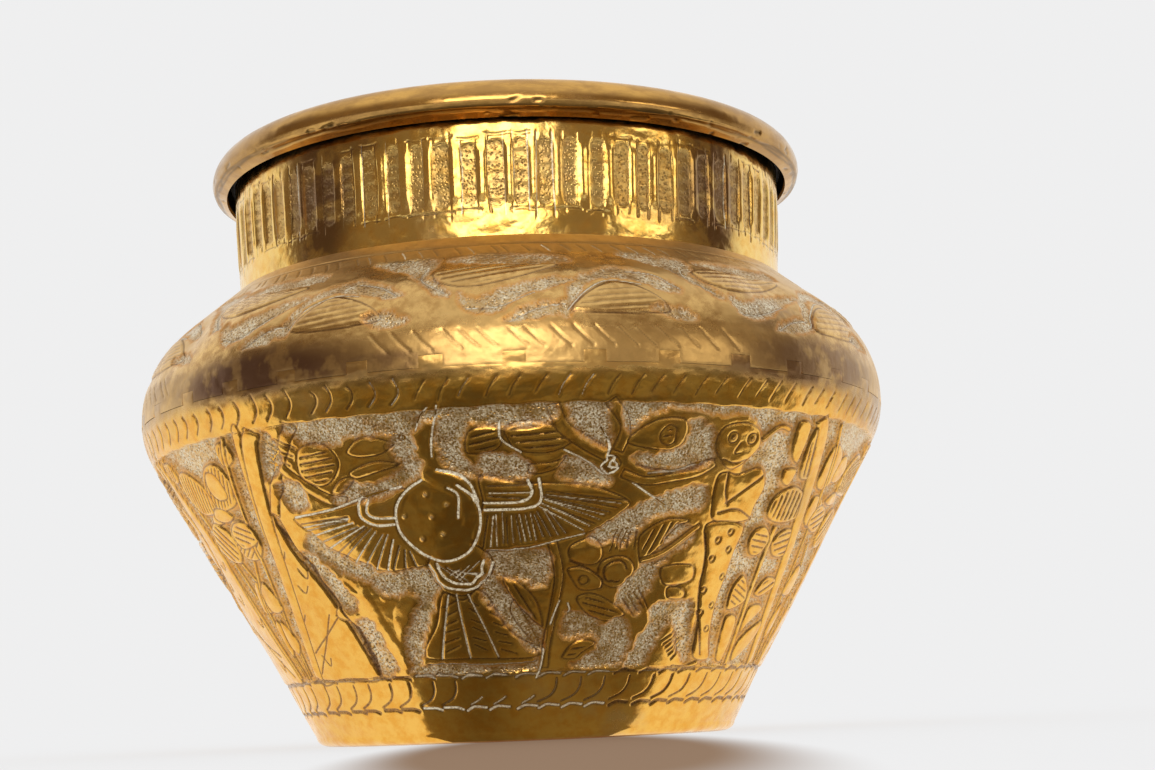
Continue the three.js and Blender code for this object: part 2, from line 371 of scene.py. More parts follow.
    def heights(self, ground_depth):
        """Millimetres by which the worked metal stands off the plain sheet."""
        return self.crown * self.cover - ground_depth * self.panel * (1 - self.cover) - self.cut

    def sample(self, field, degrees, v):
        """The field at the columns and rows of a finer or coarser grid."""
        x = (degrees + 180) / self.STEP_DEG
        y = np.clip((v - self.low) / self.STEP_MM, 0, len(self.v) - 1.001)
        c0, r0 = np.floor(x).astype(int), np.floor(y).astype(int)
        fx, fy = (x - c0)[None, :], (y - r0)[:, None]
        c1 = (c0 + 1) % self.columns
        c0 = c0 % self.columns
        low = field[np.ix_(r0, c0)] * (1 - fx) + field[np.ix_(r0, c1)] * fx
        high = field[np.ix_(r0 + 1, c0)] * (1 - fx) + field[np.ix_(r0 + 1, c1)] * fx
        return low * (1 - fy) + high * fy


class Brush:
    """Draws listed shapes on a canvas, moved round the pot and mirrored if asked."""

    def __init__(self, canvas, shift=0.0, mirror=False, wobble=0.25):
        self.canvas = canvas
        self.chalk = 0.0
        self.shift = shift
        self.sign = -1 if mirror else 1
        self.wobble = wobble

    def place(self, points):
        p = np.array(points, float)
        shake = rng.normal(0, self.wobble, p.shape)
        shake[:, 0] /= 1.6
        return np.stack([self.shift + self.sign * p[:, 0], p[:, 1]], 1) + shake

    def line(self, *points, width=0.8, depth=CUT_DEPTH):
        self.canvas.stroke(self.place(points), width, depth, chalk=self.chalk)

    def shape(self, *points, height=0.35, hatch=None, outline=True, edge=0.9):
        if hatch is not None and self.sign < 0:
            hatch = (180 - hatch[0],) + tuple(hatch[1:])
        self.canvas.plate(self.place(points), height, edge, outline, hatch=hatch)

    def dot(self, x, v, radius, height=0.0, ring=True):
        self.canvas.dot(self.shift + self.sign * x, v, radius, height, ring, self.chalk)

    def ring(self, x, v, radius, start=0, end=360, width=0.8):
        scale = self.canvas.mm_per_degree(v)
        turn = np.radians(np.linspace(start, end, 12))
        points = [(x + radius / scale * math.cos(a), v + radius * math.sin(a)) for a in turn]
        self.canvas.stroke(self.place(points), width, chalk=self.chalk)

    def blob(self, x, v, rx, ry, tilt=0, height=0.35, hatch=None, outline=True, edge=1.6):
        """An oval plate; radii are in millimetres."""
        scale = self.canvas.mm_per_degree(v)
        tilt = math.radians(tilt)
        points = []
        for a in np.linspace(0, 2 * math.pi, 8, endpoint=False):
            ex, ey = rx * math.cos(a), ry * math.sin(a)
            dx = ex * math.cos(tilt) - ey * math.sin(tilt)
            dy = ex * math.sin(tilt) + ey * math.cos(tilt)
            points.append((x + dx / scale, v + dy))
        self.shape(*points, height=height, hatch=hatch, outline=outline, edge=edge)

    def patch(self, *points):
        self.canvas.patch(self.place(points))

    def band(self, width, *points, height=0.3):
        """A raised strap of constant width in millimetres."""
        line = smooth(points, per=4)
        scale = self.canvas.mm_per_degree(line[:, 1].mean())
        run = np.gradient(line[:, 0]) * scale
        rise = np.gradient(line[:, 1])
        length = np.hypot(run, rise)
        side = np.stack([-rise / length / scale, run / length], 1) * width / 2
        outline_points = np.vstack([line + side, (line - side)[::-1]])
        placed = np.stack([self.shift + self.sign * outline_points[:, 0], outline_points[:, 1]], 1)
        self.canvas.plate(placed, height, edge=1.0, curved=False)

    def fan(self, roots, tips, count, width=0.7):
        """Lines from points spread along one curve to points spread along another."""
        a, b = smooth(roots), smooth(tips)
        for t in np.linspace(0, 1, count):
            start = [np.interp(t, np.linspace(0, 1, len(a)), a[:, k]) for k in (0, 1)]
            end = [np.interp(t, np.linspace(0, 1, len(b)), b[:, k]) for k in (0, 1)]
            chalk = self.chalk * rng.uniform(0.45, 1)
            self.canvas.stroke(self.place([start, end]), width, 0.3, curved=False, chalk=chalk)


# The chased pictures of the lower body


def bird(b):
    b.shape(
        (-17, 72.4), (-25, 70), (-33, 68.4), (-39, 67.2), (-37, 62), (-34.5, 57), (-30, 52.8),
        (-25.5, 49.3), (-20, 48.6), (-15, 50.5), (-17, 55), (-19, 62),
    )
    b.shape(
        (-6, 74.4), (0, 72.8), (8, 71.6), (14, 69.8), (18, 66), (16, 62), (12, 58), (6, 55), (0, 53),
        (-6, 52.8), (-8, 58), (-6, 66),
    )
    b.shape(
        (-14.5, 42.5), (-17, 33), (-20.8, 22.8), (-10, 22.2), (3.2, 22.3), (-2.4, 31), (-7, 42.5),
        (-11, 40.5),
    )
    b.blob(-10.4, 48.8, 8.9, 8.2, height=0.45)
    b.blob(-12.8, 62.6, 11.8, 10.9, height=0.4, edge=4, outline=False)
    b.shape(
        (-18.9, 86), (-17.4, 82.6), (-16.1, 78.6), (-14.1, 74.2), (-11.9, 70.3), (-10.4, 67.6), (-9.8, 63),
        (-10.2, 60), (-8, 59.6), (-6.3, 63), (-6.2, 69), (-7.9, 74.3), (-11.5, 76.8), (-13.5, 79.6),
        (-14.4, 83.4), (-15, 87.4), (-17, 88), height=0.6, outline=False, edge=1.8,
    )
    b.chalk = 1.0
    b.ring(-12.8, 62.8, 11.4, 104, 420, 0.95)
    b.line((-11.9, 76.5), (-9.3, 74.8), (-7.2, 72.2), (-6.2, 67), width=0.9)
    b.line((-20.2, 62.2), (-23.6, 62.5), (-25.7, 64.6), (-25.4, 69.2), width=0.95)
    b.line((-20, 64), (-23, 64.3), (-24.6, 66.4), (-24, 69.4), width=0.9)
    b.line((-5.4, 65.2), (1.4, 65), (3.2, 67), (3.1, 72.6), width=0.95)
    b.line((-5.2, 67.3), (0.4, 66.9), (1.9, 68.6), (1.7, 72), width=0.9)
    b.line((-10.8, 71.4), (-9.2, 68.8), (-9.6, 63.2), width=0.9)
    b.ring(-10.3, 50.6, 6.2, 178, 362, 1.0)
    b.ring(-10.3, 50.6, 8.2, 185, 350, 1.0)
    b.chalk = 0.38
    body_dots = (
        (-14.2, 70), (-11.1, 67), (-18.3, 64.4), (-13.8, 63.8), (-16, 57.8), (-12.4, 58.8), (-6.6, 67.8),
    )
    for x, v in body_dots:
        b.dot(x, v, 1.1, height=0.5, ring=False)
    b.chalk = 0.85
    b.line((-38.6, 67), (-31, 67.8), (-24, 70), (-18, 72.4))
    b.fan(
        [(-27.4, 63.6), (-23, 60.6), (-18.6, 54.4)], [(-36.4, 61), (-32, 54.2), (-25, 49.6), (-18, 49.4)],
        12, 0.75,
    )
    b.fan([(2, 63.4), (4.4, 64.4)], [(4, 56.8), (7.4, 58)], 4, 0.8)
    b.chalk = 0.75
    b.fan([(-28, 65.6), (-28, 64.4)], [(-37.6, 65), (-37, 62.6)], 3)
    b.fan([(4.2, 69.4), (3.4, 65.4)], [(17, 66.6), (10.4, 58.4)], 9, 0.65)
    b.fan([(1.6, 63.6), (-4.8, 63.2)], [(2.8, 56), (-5.8, 54.4)], 10, 0.65)
    b.fan([(2.4, 71.2), (1, 67.8)], [(-4.6, 71.4), (-4.6, 68.4)], 3, 0.6)
    b.line((-5.4, 53.4), (0, 53.6), (6, 55.8), (10.4, 57.6), width=0.7)
    b.chalk = 0.6
    for i in range(4):
        b.line((-14.6 + 1.6 * i, 50.5 - i), (-10.6 + 1.5 * i, 45 + 0.8 * i), width=0.65)
        b.line((-7 - 1.6 * i, 50.5 - i), (-11 - 0.6 * i, 45.2 + 0.9 * i), width=0.65)
    for x0, x1 in ((-13.2, -17), (-11.6, -11), (-9.8, -5.2)):
        b.line((x0, 41.5), (0.5 * (x0 + x1), 32), (x1, 22.6), width=0.9)
    b.line((-20.4, 21.2), (-10, 20.9), (2.6, 21), width=0.8)
    b.chalk = 0.25
    for i in range(6):
        v = 25 + 2.6 * i
        b.line((-15.8 + 0.25 * i, v), (-12.4 + 0.1 * i, v + 1.5), width=0.6)
        b.line((-10 + 0.1 * i, v + 1.4), (-7.2 - 0.2 * i, v), width=0.6)
        b.line((-4.6 - 0.35 * i, v), (-1.4 - 0.75 * i, v - 1), width=0.6)
    b.dot(-16.4, 85.4, 0.7)
    b.chalk = 0.8
    b.line((-14.2, 87.6), (-13, 90.6), (-11.9, 93.2), width=0.75)
    b.line((-12.4, 80.3), (-12, 85.2), (-11.3, 90), (-10.7, 93.6), width=0.8)
    b.line((-16, 86), (-15, 84.4), (-14.4, 82.4), width=0.7)
    b.chalk = 0.0


def upper_blooms(b):
    b.shape((-7.4, 80.5), (-6.8, 86.6), (-4.4, 88.8), (-2, 87), (-1.9, 82), (-4, 80), hatch=(12, 1.9))
    b.shape((-1.2, 87.6), (3.4, 88.2), (8.2, 83.4), (5.4, 80.2), (0.4, 80), (-1.4, 83), hatch=(4, 1.8))
    b.shape((1.8, 77.6), (5, 78), (7.6, 79.2), (6.2, 75.4), (3.4, 73.6), (1.4, 74.2), hatch=(25, 1.6))
    b.band(4.4, (5, 93), (6.4, 87), (10, 82), (13.6, 78.6))
    b.band(4.2, (12.8, 94), (15.6, 87), (14.6, 79.5))
    b.shape((15.8, 81.8), (17.8, 86.6), (21, 89.8), (24.8, 89.2), (25.4, 84.6), (24.2, 80.4), (19.6, 79.8))
    b.blob(22.2, 84.6, 3.2, 3.2, height=0.1, hatch=(8, 1.5))
    b.blob(14.1, 76.4, 2.6, 2.6, height=0.5)
    b.chalk = 0.85
    b.ring(13.9, 76.3, 2.4, 60, 330)
    b.ring(14.1, 76.4, 1.0)
    b.line((7, 80.4), (10, 77.2), (13, 73.2))
    b.line((16, 73.4), (19.4, 69.6), (24.2, 64.6))
    b.line((12.4, 86), (13.6, 81.8), (13.4, 78.6), width=0.9)
    b.line((-2.2, 88.4), (-2, 84), (0.4, 80.2), width=0.8)
    b.chalk = 0.5
    b.line((20, 74.2), (25, 74.6), (30.6, 77.4), width=0.9)
    b.chalk = 0.0
    b.band(3.4, (15.5, 74.2), (19.6, 71.8), (24.4, 72.8), (28.6, 74.4), (31.4, 77.6))
    b.line((18, 76.4), (21.6, 74.6), (26.4, 75), (31, 78))


def side_leaf_left(b):
    b.shape(
        (-34.6, 78), (-33.4, 85.6), (-30.6, 87.4), (-27.6, 85.2), (-26.4, 80), (-29, 75.6), (-32, 74.6),
        hatch=(4, 1.9),
    )
    b.shape((-25, 83.6), (-22.6, 87.2), (-19, 86.4), (-17.4, 84), (-20, 81.4), (-23.6, 81))
    b.shape((-25.6, 78.2), (-22, 80.4), (-18.4, 80), (-17, 78.2), (-21, 76.4), (-24.6, 75))
    b.shape((-29.8, 73.2), (-27.4, 76.6), (-24.8, 77), (-25.4, 73.6), (-27.8, 71.4))
    b.band(4.6, (-33, 93), (-35.4, 87), (-39.4, 78), (-42.8, 68))
    b.fan([(-36.6, 90), (-40.4, 83)], [(-33, 86), (-36.8, 79.4)], 7)
    b.band(4.0, (-38.6, 84.6), (-36, 78.6), (-31.6, 72), (-27.6, 68.8))


def stalk_and_roses(b):
    b.band(3.2, (5.2, 56), (6.6, 46), (5.8, 36), (4.6, 26), (4.2, 18.6), height=0.4)
    b.shape((-3.6, 45.4), (-0.6, 44.8), (2.8, 39), (4, 31), (1.6, 32.4), (-1.8, 38.6), hatch=(118, 1.7))
    b.shape((-1.4, 39.4), (0.6, 33.6), (3.4, 27.4), (3.4, 24.4), (0.6, 27), (-2.6, 34.4))
    b.blob(11.2, 52.2, 5.2, 4.4, tilt=-15, height=0.5)
    b.blob(16.8, 46.6, 5.6, 5.0, height=0.55)
    b.ring(16.8, 46.6, 3.2, 20, 300)
    b.shape((8, 47.6), (11, 49), (14.6, 44.4), (14.6, 41.2), (10.6, 41), (8.6, 43.6), height=0.4)
    b.dot(11, 44.4, 1.3)
    b.line((8.6, 49.6), (11.6, 47.8), (14, 44), (14.6, 41.4))
    for i in range(5):
        b.line((15.2 + i, 52.4 + 0.3 * i), (16.2 + 0.9 * i, 57.6), width=0.6)
    b.shape(
        (9.4, 39.2), (12.4, 41), (16.4, 38.4), (20.4, 33.6), (16.6, 31.6), (12.6, 33.4), hatch=(-18, 1.7),
    )
    b.shape((7.4, 21.6), (8.6, 25.8), (12, 27.2), (15.4, 26.2), (12.6, 23), (10, 20.8), hatch=(8, 1.6))
    b.shape(
        (20.2, 50.4), (20.4, 57.4), (24.2, 61.6), (29.4, 61), (27.6, 57.2), (24.4, 53), (21.4, 48.6),
        hatch=(60, 1.8),
    )
    b.chalk = 0.7
    b.line((5.4, 31.6), (6.2, 35), (6.9, 38.6), width=0.8)
    b.line((8.6, 37.6), (9.2, 35.6), (8.8, 34), width=0.8)
    b.line((4.2, 24), (3.4, 19.4), (2.2, 15.6), width=0.8)
    b.chalk = 0.0
    b.fan([(19.4, 38), (22, 41)], [(22, 33.4), (24.4, 36)], 4)


def figure(b):
    """A folk figure in a spotted robe, with round eyes."""
    b.shape(
        (30.4, 82), (31, 87.4), (34.4, 89.8), (38, 87.6), (38.8, 82.4), (36.8, 77.4), (34.4, 75),
        (31.8, 77.6), height=0.5,
    )
    b.dot(33, 84.8, 1.6, height=0.3)
    b.dot(36.6, 84.8, 1.6, height=0.3)
    b.dot(33, 84.8, 0.6)
    b.dot(36.6, 84.8, 0.6)
    b.line((34.8, 84), (34.2, 80.6), (35.4, 80.4), width=0.6)
    b.line((32.6, 78.6), (34.6, 77.4), (36.8, 78.4), width=0.7)
    b.band(2.4, (38.8, 84), (41.8, 88.6), (44.6, 88))
    b.shape(
        (32.2, 73.6), (33.6, 75.6), (36.4, 75.4), (40.6, 77), (43.4, 72.4), (42.6, 66), (41.6, 60.4),
        (34, 60.6), (32.4, 66), height=0.4,
    )
    b.line((34.4, 75), (34.6, 70), (36, 65.4), width=0.8)
    b.line((35.4, 65.8), (38.6, 70.6), (41.8, 75), width=0.7)
    b.line((34.4, 63.4), (38, 64.6), (42, 62.4), width=0.8)
    b.shape(
        (32.4, 60.4), (41.4, 60.2), (41.6, 52), (41, 44), (40.8, 36), (42.4, 27), (44.4, 20.2),
        (38.8, 20.4), (37, 30), (35, 40), (34, 50), height=0.4,
    )
    robe_dots = (
        (38.4, 58), (36, 55.6), (39.2, 53), (35.8, 50.2), (39.8, 45), (36, 41), (39.4, 36.6), (36.8, 34.4),
        (40, 29.6),
    )
    for x, v in robe_dots:
        b.dot(x, v, 0.9)
    b.line((33.2, 57.4), (34.4, 50), (35.2, 42), (37, 33), (40.6, 21.6), width=0.8)
    b.band(2.6, (33.4, 17.8), (37, 17.4), (41.6, 19.6))
    b.shape((25.4, 47.8), (31.6, 48.4), (33.2, 44.6), (30.4, 41.8), (26.4, 42.6), height=0.35)
    b.shape((27.4, 41.4), (30.2, 42.4), (32.4, 40.4), (31, 37.8), (28, 38.4), height=0.3)
    b.fan([(29.2, 26.4), (32.6, 20.6)], [(32.4, 29), (35.2, 24)], 6)
    b.band(2.6, (20.6, 49.4), (25.4, 52), (31.6, 59.8))


def tulip_spray(b):
    b.band(3.0, (51.6, 17.6), (51, 30), (50.4, 44), (50.2, 61))
    b.shape((44, 35), (43.2, 42), (45.6, 45.6), (48.6, 43), (49.8, 37.6), (47, 35.2), hatch=(-28, 1.8))
    b.shape((44.8, 33), (48.6, 33.6), (50, 28), (49.6, 19.4), (46.6, 20), (45, 26))
    b.shape((51.6, 40.6), (54, 45), (58, 45.6), (60, 43.4), (57, 39.6), (53.6, 38.4), hatch=(24, 1.9))
    b.shape((51.8, 36), (56, 37.8), (58.4, 35), (55, 30.6), (52, 27.6))
    b.shape((52.4, 25.4), (57, 30), (62, 33), (60.6, 26.4), (56.4, 20.8), (52.8, 19))
    b.shape((43.4, 55), (44.6, 59.6), (47.6, 60.6), (50.2, 56.6), (49, 51.6), (45.4, 51), hatch=(-6, 1.8))
    b.shape((50.8, 56), (53.4, 60), (58, 59.6), (60.4, 55.4), (56.6, 51.2), (52.4, 51.4), hatch=(16, 1.8))
    b.shape(
        (46.4, 62.6), (46.2, 68.6), (50.4, 72.6), (55, 70.4), (56.4, 63.6), (51.4, 60.8), hatch=(66, 1.9),
    )
    b.shape(
        (50.2, 75.4), (49.6, 84), (50.6, 91.2), (53.8, 90.8), (55.6, 84), (54.4, 75.6), (52.4, 73.4),
        hatch=(80, 1.8),
    )
    b.shape((45.4, 90.4), (48.8, 90.8), (49.6, 84), (48.6, 78.4), (46.2, 82))
    b.shape((46.6, 73.4), (46.4, 77), (49.4, 77.8), (50, 74.2), (48.4, 72))
    b.shape((57.6, 74), (57.4, 84), (59.8, 87.4), (63.4, 84.6), (64.2, 78), (61.4, 72))
    b.shape((58.6, 70), (63, 70.6), (65, 64.4), (62, 60.6), (58.6, 63.4))


def rose_spray(b):
    """Straps, blooms and a long smooth leaf at the left edge of the picture."""
    b.band(6, (-76, 93), (-73.5, 85), (-68, 50), (-62.6, 18))
    b.band(2.4, (-69.4, 93), (-67, 82), (-62.4, 48), (-58.4, 18))
    b.band(2.2, (-61, 57), (-57, 46), (-55.4, 36), (-56.4, 19))
    b.shape((-64.5, 76), (-63.6, 82.6), (-61, 84.4), (-59, 80), (-60.6, 75.4))
    b.shape((-50.2, 85), (-49.6, 91), (-46.6, 91.4), (-46, 86.4), (-48, 83.6), hatch=(80, 1.6))
    b.shape(
        (-58.6, 73), (-58.4, 80), (-55, 86), (-51, 86.4), (-49, 80), (-50.6, 73.6), (-54.6, 71.6),
        hatch=(84, 1.7),
    )
    b.shape((-62.6, 69.6), (-60, 73.4), (-57, 73.6), (-56, 70.4), (-59, 68.4))
    b.shape((-66.4, 61.6), (-65, 67.6), (-61.4, 69), (-58.4, 65), (-60.4, 60), hatch=(20, 1.7))
    b.shape(
        (-58.4, 60), (-58, 66), (-54.4, 69.6), (-50.6, 67.4), (-49.4, 61), (-52, 56.6), (-56, 56),
        height=0.5, hatch=(36, 1.8),
    )
    b.shape((-62.4, 40.6), (-61.4, 48), (-59, 50.6), (-56.6, 46.6), (-57.6, 40))
    b.shape((-62, 30), (-60.6, 36), (-58, 38), (-57.6, 30), (-59.6, 26))
    b.shape(
        (-44.4, 94), (-42.6, 94), (-43, 78), (-43, 66), (-41.8, 57), (-38.6, 46), (-36.6, 38), (-34.8, 28),
        (-33.6, 17), (-44, 17), (-54, 17), (-51.8, 32), (-50.3, 42), (-49.2, 54), (-48.5, 64), (-46.4, 78),
        height=0.25,
    )
    b.line((-40.4, 38), (-45, 29), (-51, 20), width=0.7)
    b.line((-38.4, 36.4), (-43.4, 31.6), (-49.5, 27), width=0.7)
    for x, v in ((-44.2, 46), (-48.7, 38), (-45.6, 57), (-42, 50.6), (-47, 24)):
        b.line((x - 1.2, v + 1.4), (x, v - 1.4), (x + 1.4, v + 0.6), width=0.65)
    b.shape((-37.6, 52), (-35.4, 50.4), (-31, 44.6), (-31.2, 42.4), (-35, 44), hatch=(-35, 1.8))
    b.shape((-38, 39.6), (-35, 40.4), (-31.6, 36.4), (-30.8, 33), (-35.4, 34.4), (-38.4, 36.4))
    b.shape((-35.2, 27.6), (-33, 28.6), (-29.6, 25), (-29.2, 20.6), (-32.4, 21), hatch=(-48, 1.7))
    b.band(4.4, (-30.4, 46.4), (-28.8, 36), (-26.4, 26), (-24.6, 19.4))
    b.line((-29.8, 39.4), (-27.8, 31), (-25.2, 21.4), width=0.8)
    b.shape((-27.4, 46.8), (-24.4, 46.4), (-25, 41), (-27, 40.6))
    b.shape(
        (-25.4, 37), (-22.8, 41.6), (-19.8, 40.4), (-20.6, 35.4), (-23.6, 30.4), (-25.6, 30),
        hatch=(12, 1.6),
    )


def ground_above_bird(b):
    b.patch(
        (-33.4, 92.6), (-32.8, 89.2), (-31, 87.9), (-26.8, 85.8), (-25.2, 87.8), (-22.7, 87.4), (-19.4, 88),
        (-17.7, 86.8), (-18, 83.6), (-17.4, 80.4), (-15.2, 80.6), (-14.9, 84), (-15, 87.2), (-13, 89.2),
        (-9.6, 90.4), (-5, 88.4), (-1, 88), (2.6, 87.8), (4.6, 88.6), (4.8, 93.8), (-6, 93.8), (-20, 93.4),
    )
    b.patch(
        (-10.2, 89.8), (-10.9, 86.2), (-11.3, 83.4), (-10.6, 80), (-9.9, 77.4), (-8.2, 75), (-6, 74.4),
        (-6.9, 77), (-7.7, 80), (-7.5, 85), (-6.8, 88.8), (-8.2, 90.8),
    )
    b.patch(
        (-29.8, 70.2), (-27.6, 71.8), (-25.8, 75), (-24.2, 73.4), (-21.8, 73.8), (-19.4, 74.8),
        (-17.6, 76.8), (-16.2, 80), (-14.8, 79.6), (-14.6, 76.6), (-15.8, 73.6), (-19, 71.8), (-23, 70.2),
    )
    b.patch(
        (-4.4, 79.4), (-1, 79), (0.4, 78.4), (1.8, 76.2), (1.2, 73.4), (-1.6, 73), (-4.4, 74.2),
        (-5.6, 76.4),
    )


def ground_round_tail(b):
    b.patch(
        (-26.6, 48), (-22.7, 48.2), (-18.6, 48.2), (-16.2, 48), (-15.4, 44.4), (-16.6, 40.6), (-18, 35.7),
        (-19.4, 30.6), (-20.8, 26), (-22.2, 21.8), (-24.2, 20.4), (-24.4, 25), (-23.8, 28.4), (-22, 32),
        (-20.3, 36.2), (-18.8, 40.2), (-20, 42.4), (-23, 42), (-26, 43.2), (-27.2, 45.4),
    )
    b.patch(
        (-6.9, 42.6), (-5.6, 45.4), (-4.4, 44.6), (-3.2, 42), (-1.5, 38), (1, 34.4), (3, 30.4), (3.5, 26.4),
        (2.7, 24), (0.9, 25.2), (-1.6, 29.4), (-4, 34.2), (-6.2, 39),
    )
    b.patch(
        (-5.4, 52.6), (-2, 53), (1.6, 52.6), (4.6, 51.8), (4.9, 47.6), (4.5, 43.4), (3, 43), (0.8, 44.4),
        (-2.6, 45.6), (-4.6, 46.2), (-5.2, 49),
    )
    b.patch(
        (-24.6, 19.2), (-20.3, 20), (-14.7, 20.2), (-5.4, 19.6), (0.6, 19.8), (2.5, 20.6), (2.2, 18),
        (-0.8, 17.4), (-10, 17.7), (-19.4, 17.4), (-23, 18),
    )


def ground_right_of_bird(b):
    b.patch(
        (8, 93.8), (12, 93.6), (12.6, 89), (13.1, 84.6), (13.2, 81.6), (11.5, 82.4), (9.2, 84.8), (8, 88),
    )
    b.patch(
        (15.6, 94), (24.8, 94.2), (32, 94), (38, 93.8), (38, 90), (34.6, 91.6), (30, 90.4), (27.4, 91.4),
        (24.4, 92.2), (21.4, 92), (18.8, 90), (17, 86.8), (15.9, 86),
    )
    b.patch(
        (26, 88.8), (28.4, 87.4), (30, 83.6), (30.6, 79), (28.4, 76.2), (24, 75.4), (20.2, 75.6),
        (17.6, 77.6), (18.2, 79.2), (20.8, 78.6), (24.2, 79.8), (26, 83.4),
    )
    b.patch(
        (7.4, 77.6), (10, 76.6), (12.4, 74), (14.2, 72), (12.3, 71.4), (9, 72), (6.4, 73.4), (6.8, 75.6),
    )
    b.patch(
        (19.4, 65), (22, 67), (25.4, 68.4), (28.4, 69.8), (30.8, 69.4), (31.6, 67), (30.8, 64.4),
        (28, 63.6), (24.6, 63.4), (22, 61.6), (20, 59), (18.8, 55.6), (17.6, 53.4), (15.6, 55.6),
        (14, 54.8), (12, 56), (13.4, 58.6), (16.4, 61.4),
    )
    b.patch(
        (26.4, 57.4), (28.6, 58.6), (30.4, 57.4), (30, 55), (27.4, 52), (25.4, 48.6), (24.4, 44.4),
        (23.4, 40.6), (22.4, 37), (22.8, 34.6), (20.9, 34.6), (19, 37), (18, 38.8), (18.8, 41.6),
        (20.6, 45.8), (22.4, 48.8), (24.6, 53),
    )
    b.patch(
        (8, 33.8), (11.2, 34.4), (13.7, 32.4), (16, 30.2), (19, 32), (20.4, 31.4), (21.2, 27.9),
        (21.4, 23.8), (20.2, 20), (18, 18.4), (14.6, 18), (10.6, 18.2), (10, 19.3), (11.6, 20.2),
        (14.4, 22.2), (15.5, 25.4), (14, 28), (10.4, 27.6), (8, 28), (7.5, 30.7),
    )
    b.patch(
        (25.8, 35.4), (30, 36.6), (33.8, 37.4), (34.6, 34.6), (36, 28), (37.2, 21), (36.4, 20.6),
        (34.3, 24), (33.2, 28.2), (31.2, 31.2), (29.2, 30.4), (27.8, 25.8), (27.2, 21.4), (26.2, 16.4),
        (24.2, 15), (22.9, 16.8), (22.5, 19.6), (23.8, 25), (25.2, 28.6), (26.2, 32),
    )


def ground_left_of_bird(b):
    b.patch(
        (-39, 76.4), (-36.4, 76.6), (-35.2, 75), (-35.6, 72.6), (-35.2, 70.2), (-37, 68.8), (-39.4, 70.8),
    )
    b.patch((-39, 91.4), (-37, 88.6), (-37.4, 83.4), (-39.2, 80.4), (-42.4, 79.4), (-42, 86), (-40.6, 90))
    b.patch(
        (-36.6, 61.6), (-34, 56.4), (-30.2, 52), (-26.8, 49.6), (-28.4, 47.4), (-31.4, 48.6), (-35.4, 53),
        (-38.6, 58.4),
    )
    b.patch(
        (-40.6, 55), (-39, 56), (-36.6, 51), (-34.4, 46), (-32.8, 41), (-33.6, 38.4), (-35.6, 40),
        (-37.6, 46),
    )
    b.patch(
        (-34.4, 33.5), (-32, 35), (-30.6, 32), (-29.6, 26), (-28.4, 20.5), (-31, 18.6), (-33, 19.5),
        (-33.8, 26),
    )


PANEL_LOW = 18
PANEL_HIGH = 93


def picture(canvas, shift, mirror=False):
    """The whole picture, drawn from its left edge to its right."""
    b = Brush(canvas, shift, mirror)
    rose_spray(b)
    field = [
        (-33, 12), (-34.2, 28), (-36, 38), (-38.2, 46), (-41.2, 57), (-42.4, 66), (-42.4, 80), (-42, 98),
        (-20, 98), (20, 98), (37, 98), (37, 12), (20, 12), (-20, 12),
    ]
    canvas.plate(b.place(field), height=0.12, edge=3, outline=False, curved=False)
    b.line((-43.2, 66), (-41.5, 57), (-36.4, 38), (-34.4, 28), (-33.3, 18), width=0.85, depth=0.4)
    side_leaf_left(b)
    upper_blooms(b)
    stalk_and_roses(b)
    bird(b)
    ground_above_bird(b)
    ground_round_tail(b)
    ground_right_of_bird(b)
    ground_left_of_bird(b)
    figure(b)
    tulip_spray(b)


BELLY_STAINS = (
    (68, 101, 16, 7, 0.5), (-66, 106, 14, 4, 0.45), (-38, 106, 16, 5, 0.8), (-20, 103, 10, 3, 0.5),
    (44, 105, 18, 5, 0.8), (120, 104, 20, 5, 0.8), (-140, 106, 24, 6, 0.8), (178, 104, 14, 4, 0.7),
)


def draw_body(canvas):
    """Pictures in a recessed panel, between a plain belly band and a foot border."""
    deg = canvas.deg[None, :]
    v = canvas.v[:, None]
    wave = 0.5 * np.sin(np.radians(deg * 2.9)) + 0.35 * np.sin(np.radians(deg * 7 + 40))
    top = PANEL_HIGH + 0.35 * wave + 0.45 * np.abs(np.sin(np.radians(deg * 30)))
    low = PANEL_LOW + wave * 0.6 - 0.5 * np.abs(np.sin(np.radians(deg * 21)))
    canvas.panel[:] = ease((v - low) / 0.7) * ease((top - v) / 0.7)
    picture(canvas, 0)
    picture(canvas, 127)
    picture(canvas, -116, mirror=True)
    canvas.cover *= canvas.panel
    border(canvas)
    belly_strokes(canvas)
    canvas.dull[:] = ease((v - 99) / 4)
    canvas.stain_at(BELLY_STAINS)


def lean(degrees_round):
    """Strokes open to the right on the left side of the pot and lean like slashes on the right."""
    return 1 if math.sin(math.radians(degrees_round)) > -0.25 else -1


PICTURE_MIDDLES = (-3, 124, -113)
BORDER_COUNT = 65
BELLY_STROKE_COUNT = 112


def kept_chalk(x, half):
    """How much dried polish is left near the middle of each picture."""
    apart = min(abs((x - middle + 180) % 360 - 180) for middle in PICTURE_MIDDLES)
    return 0.75 if apart < half else 0.0


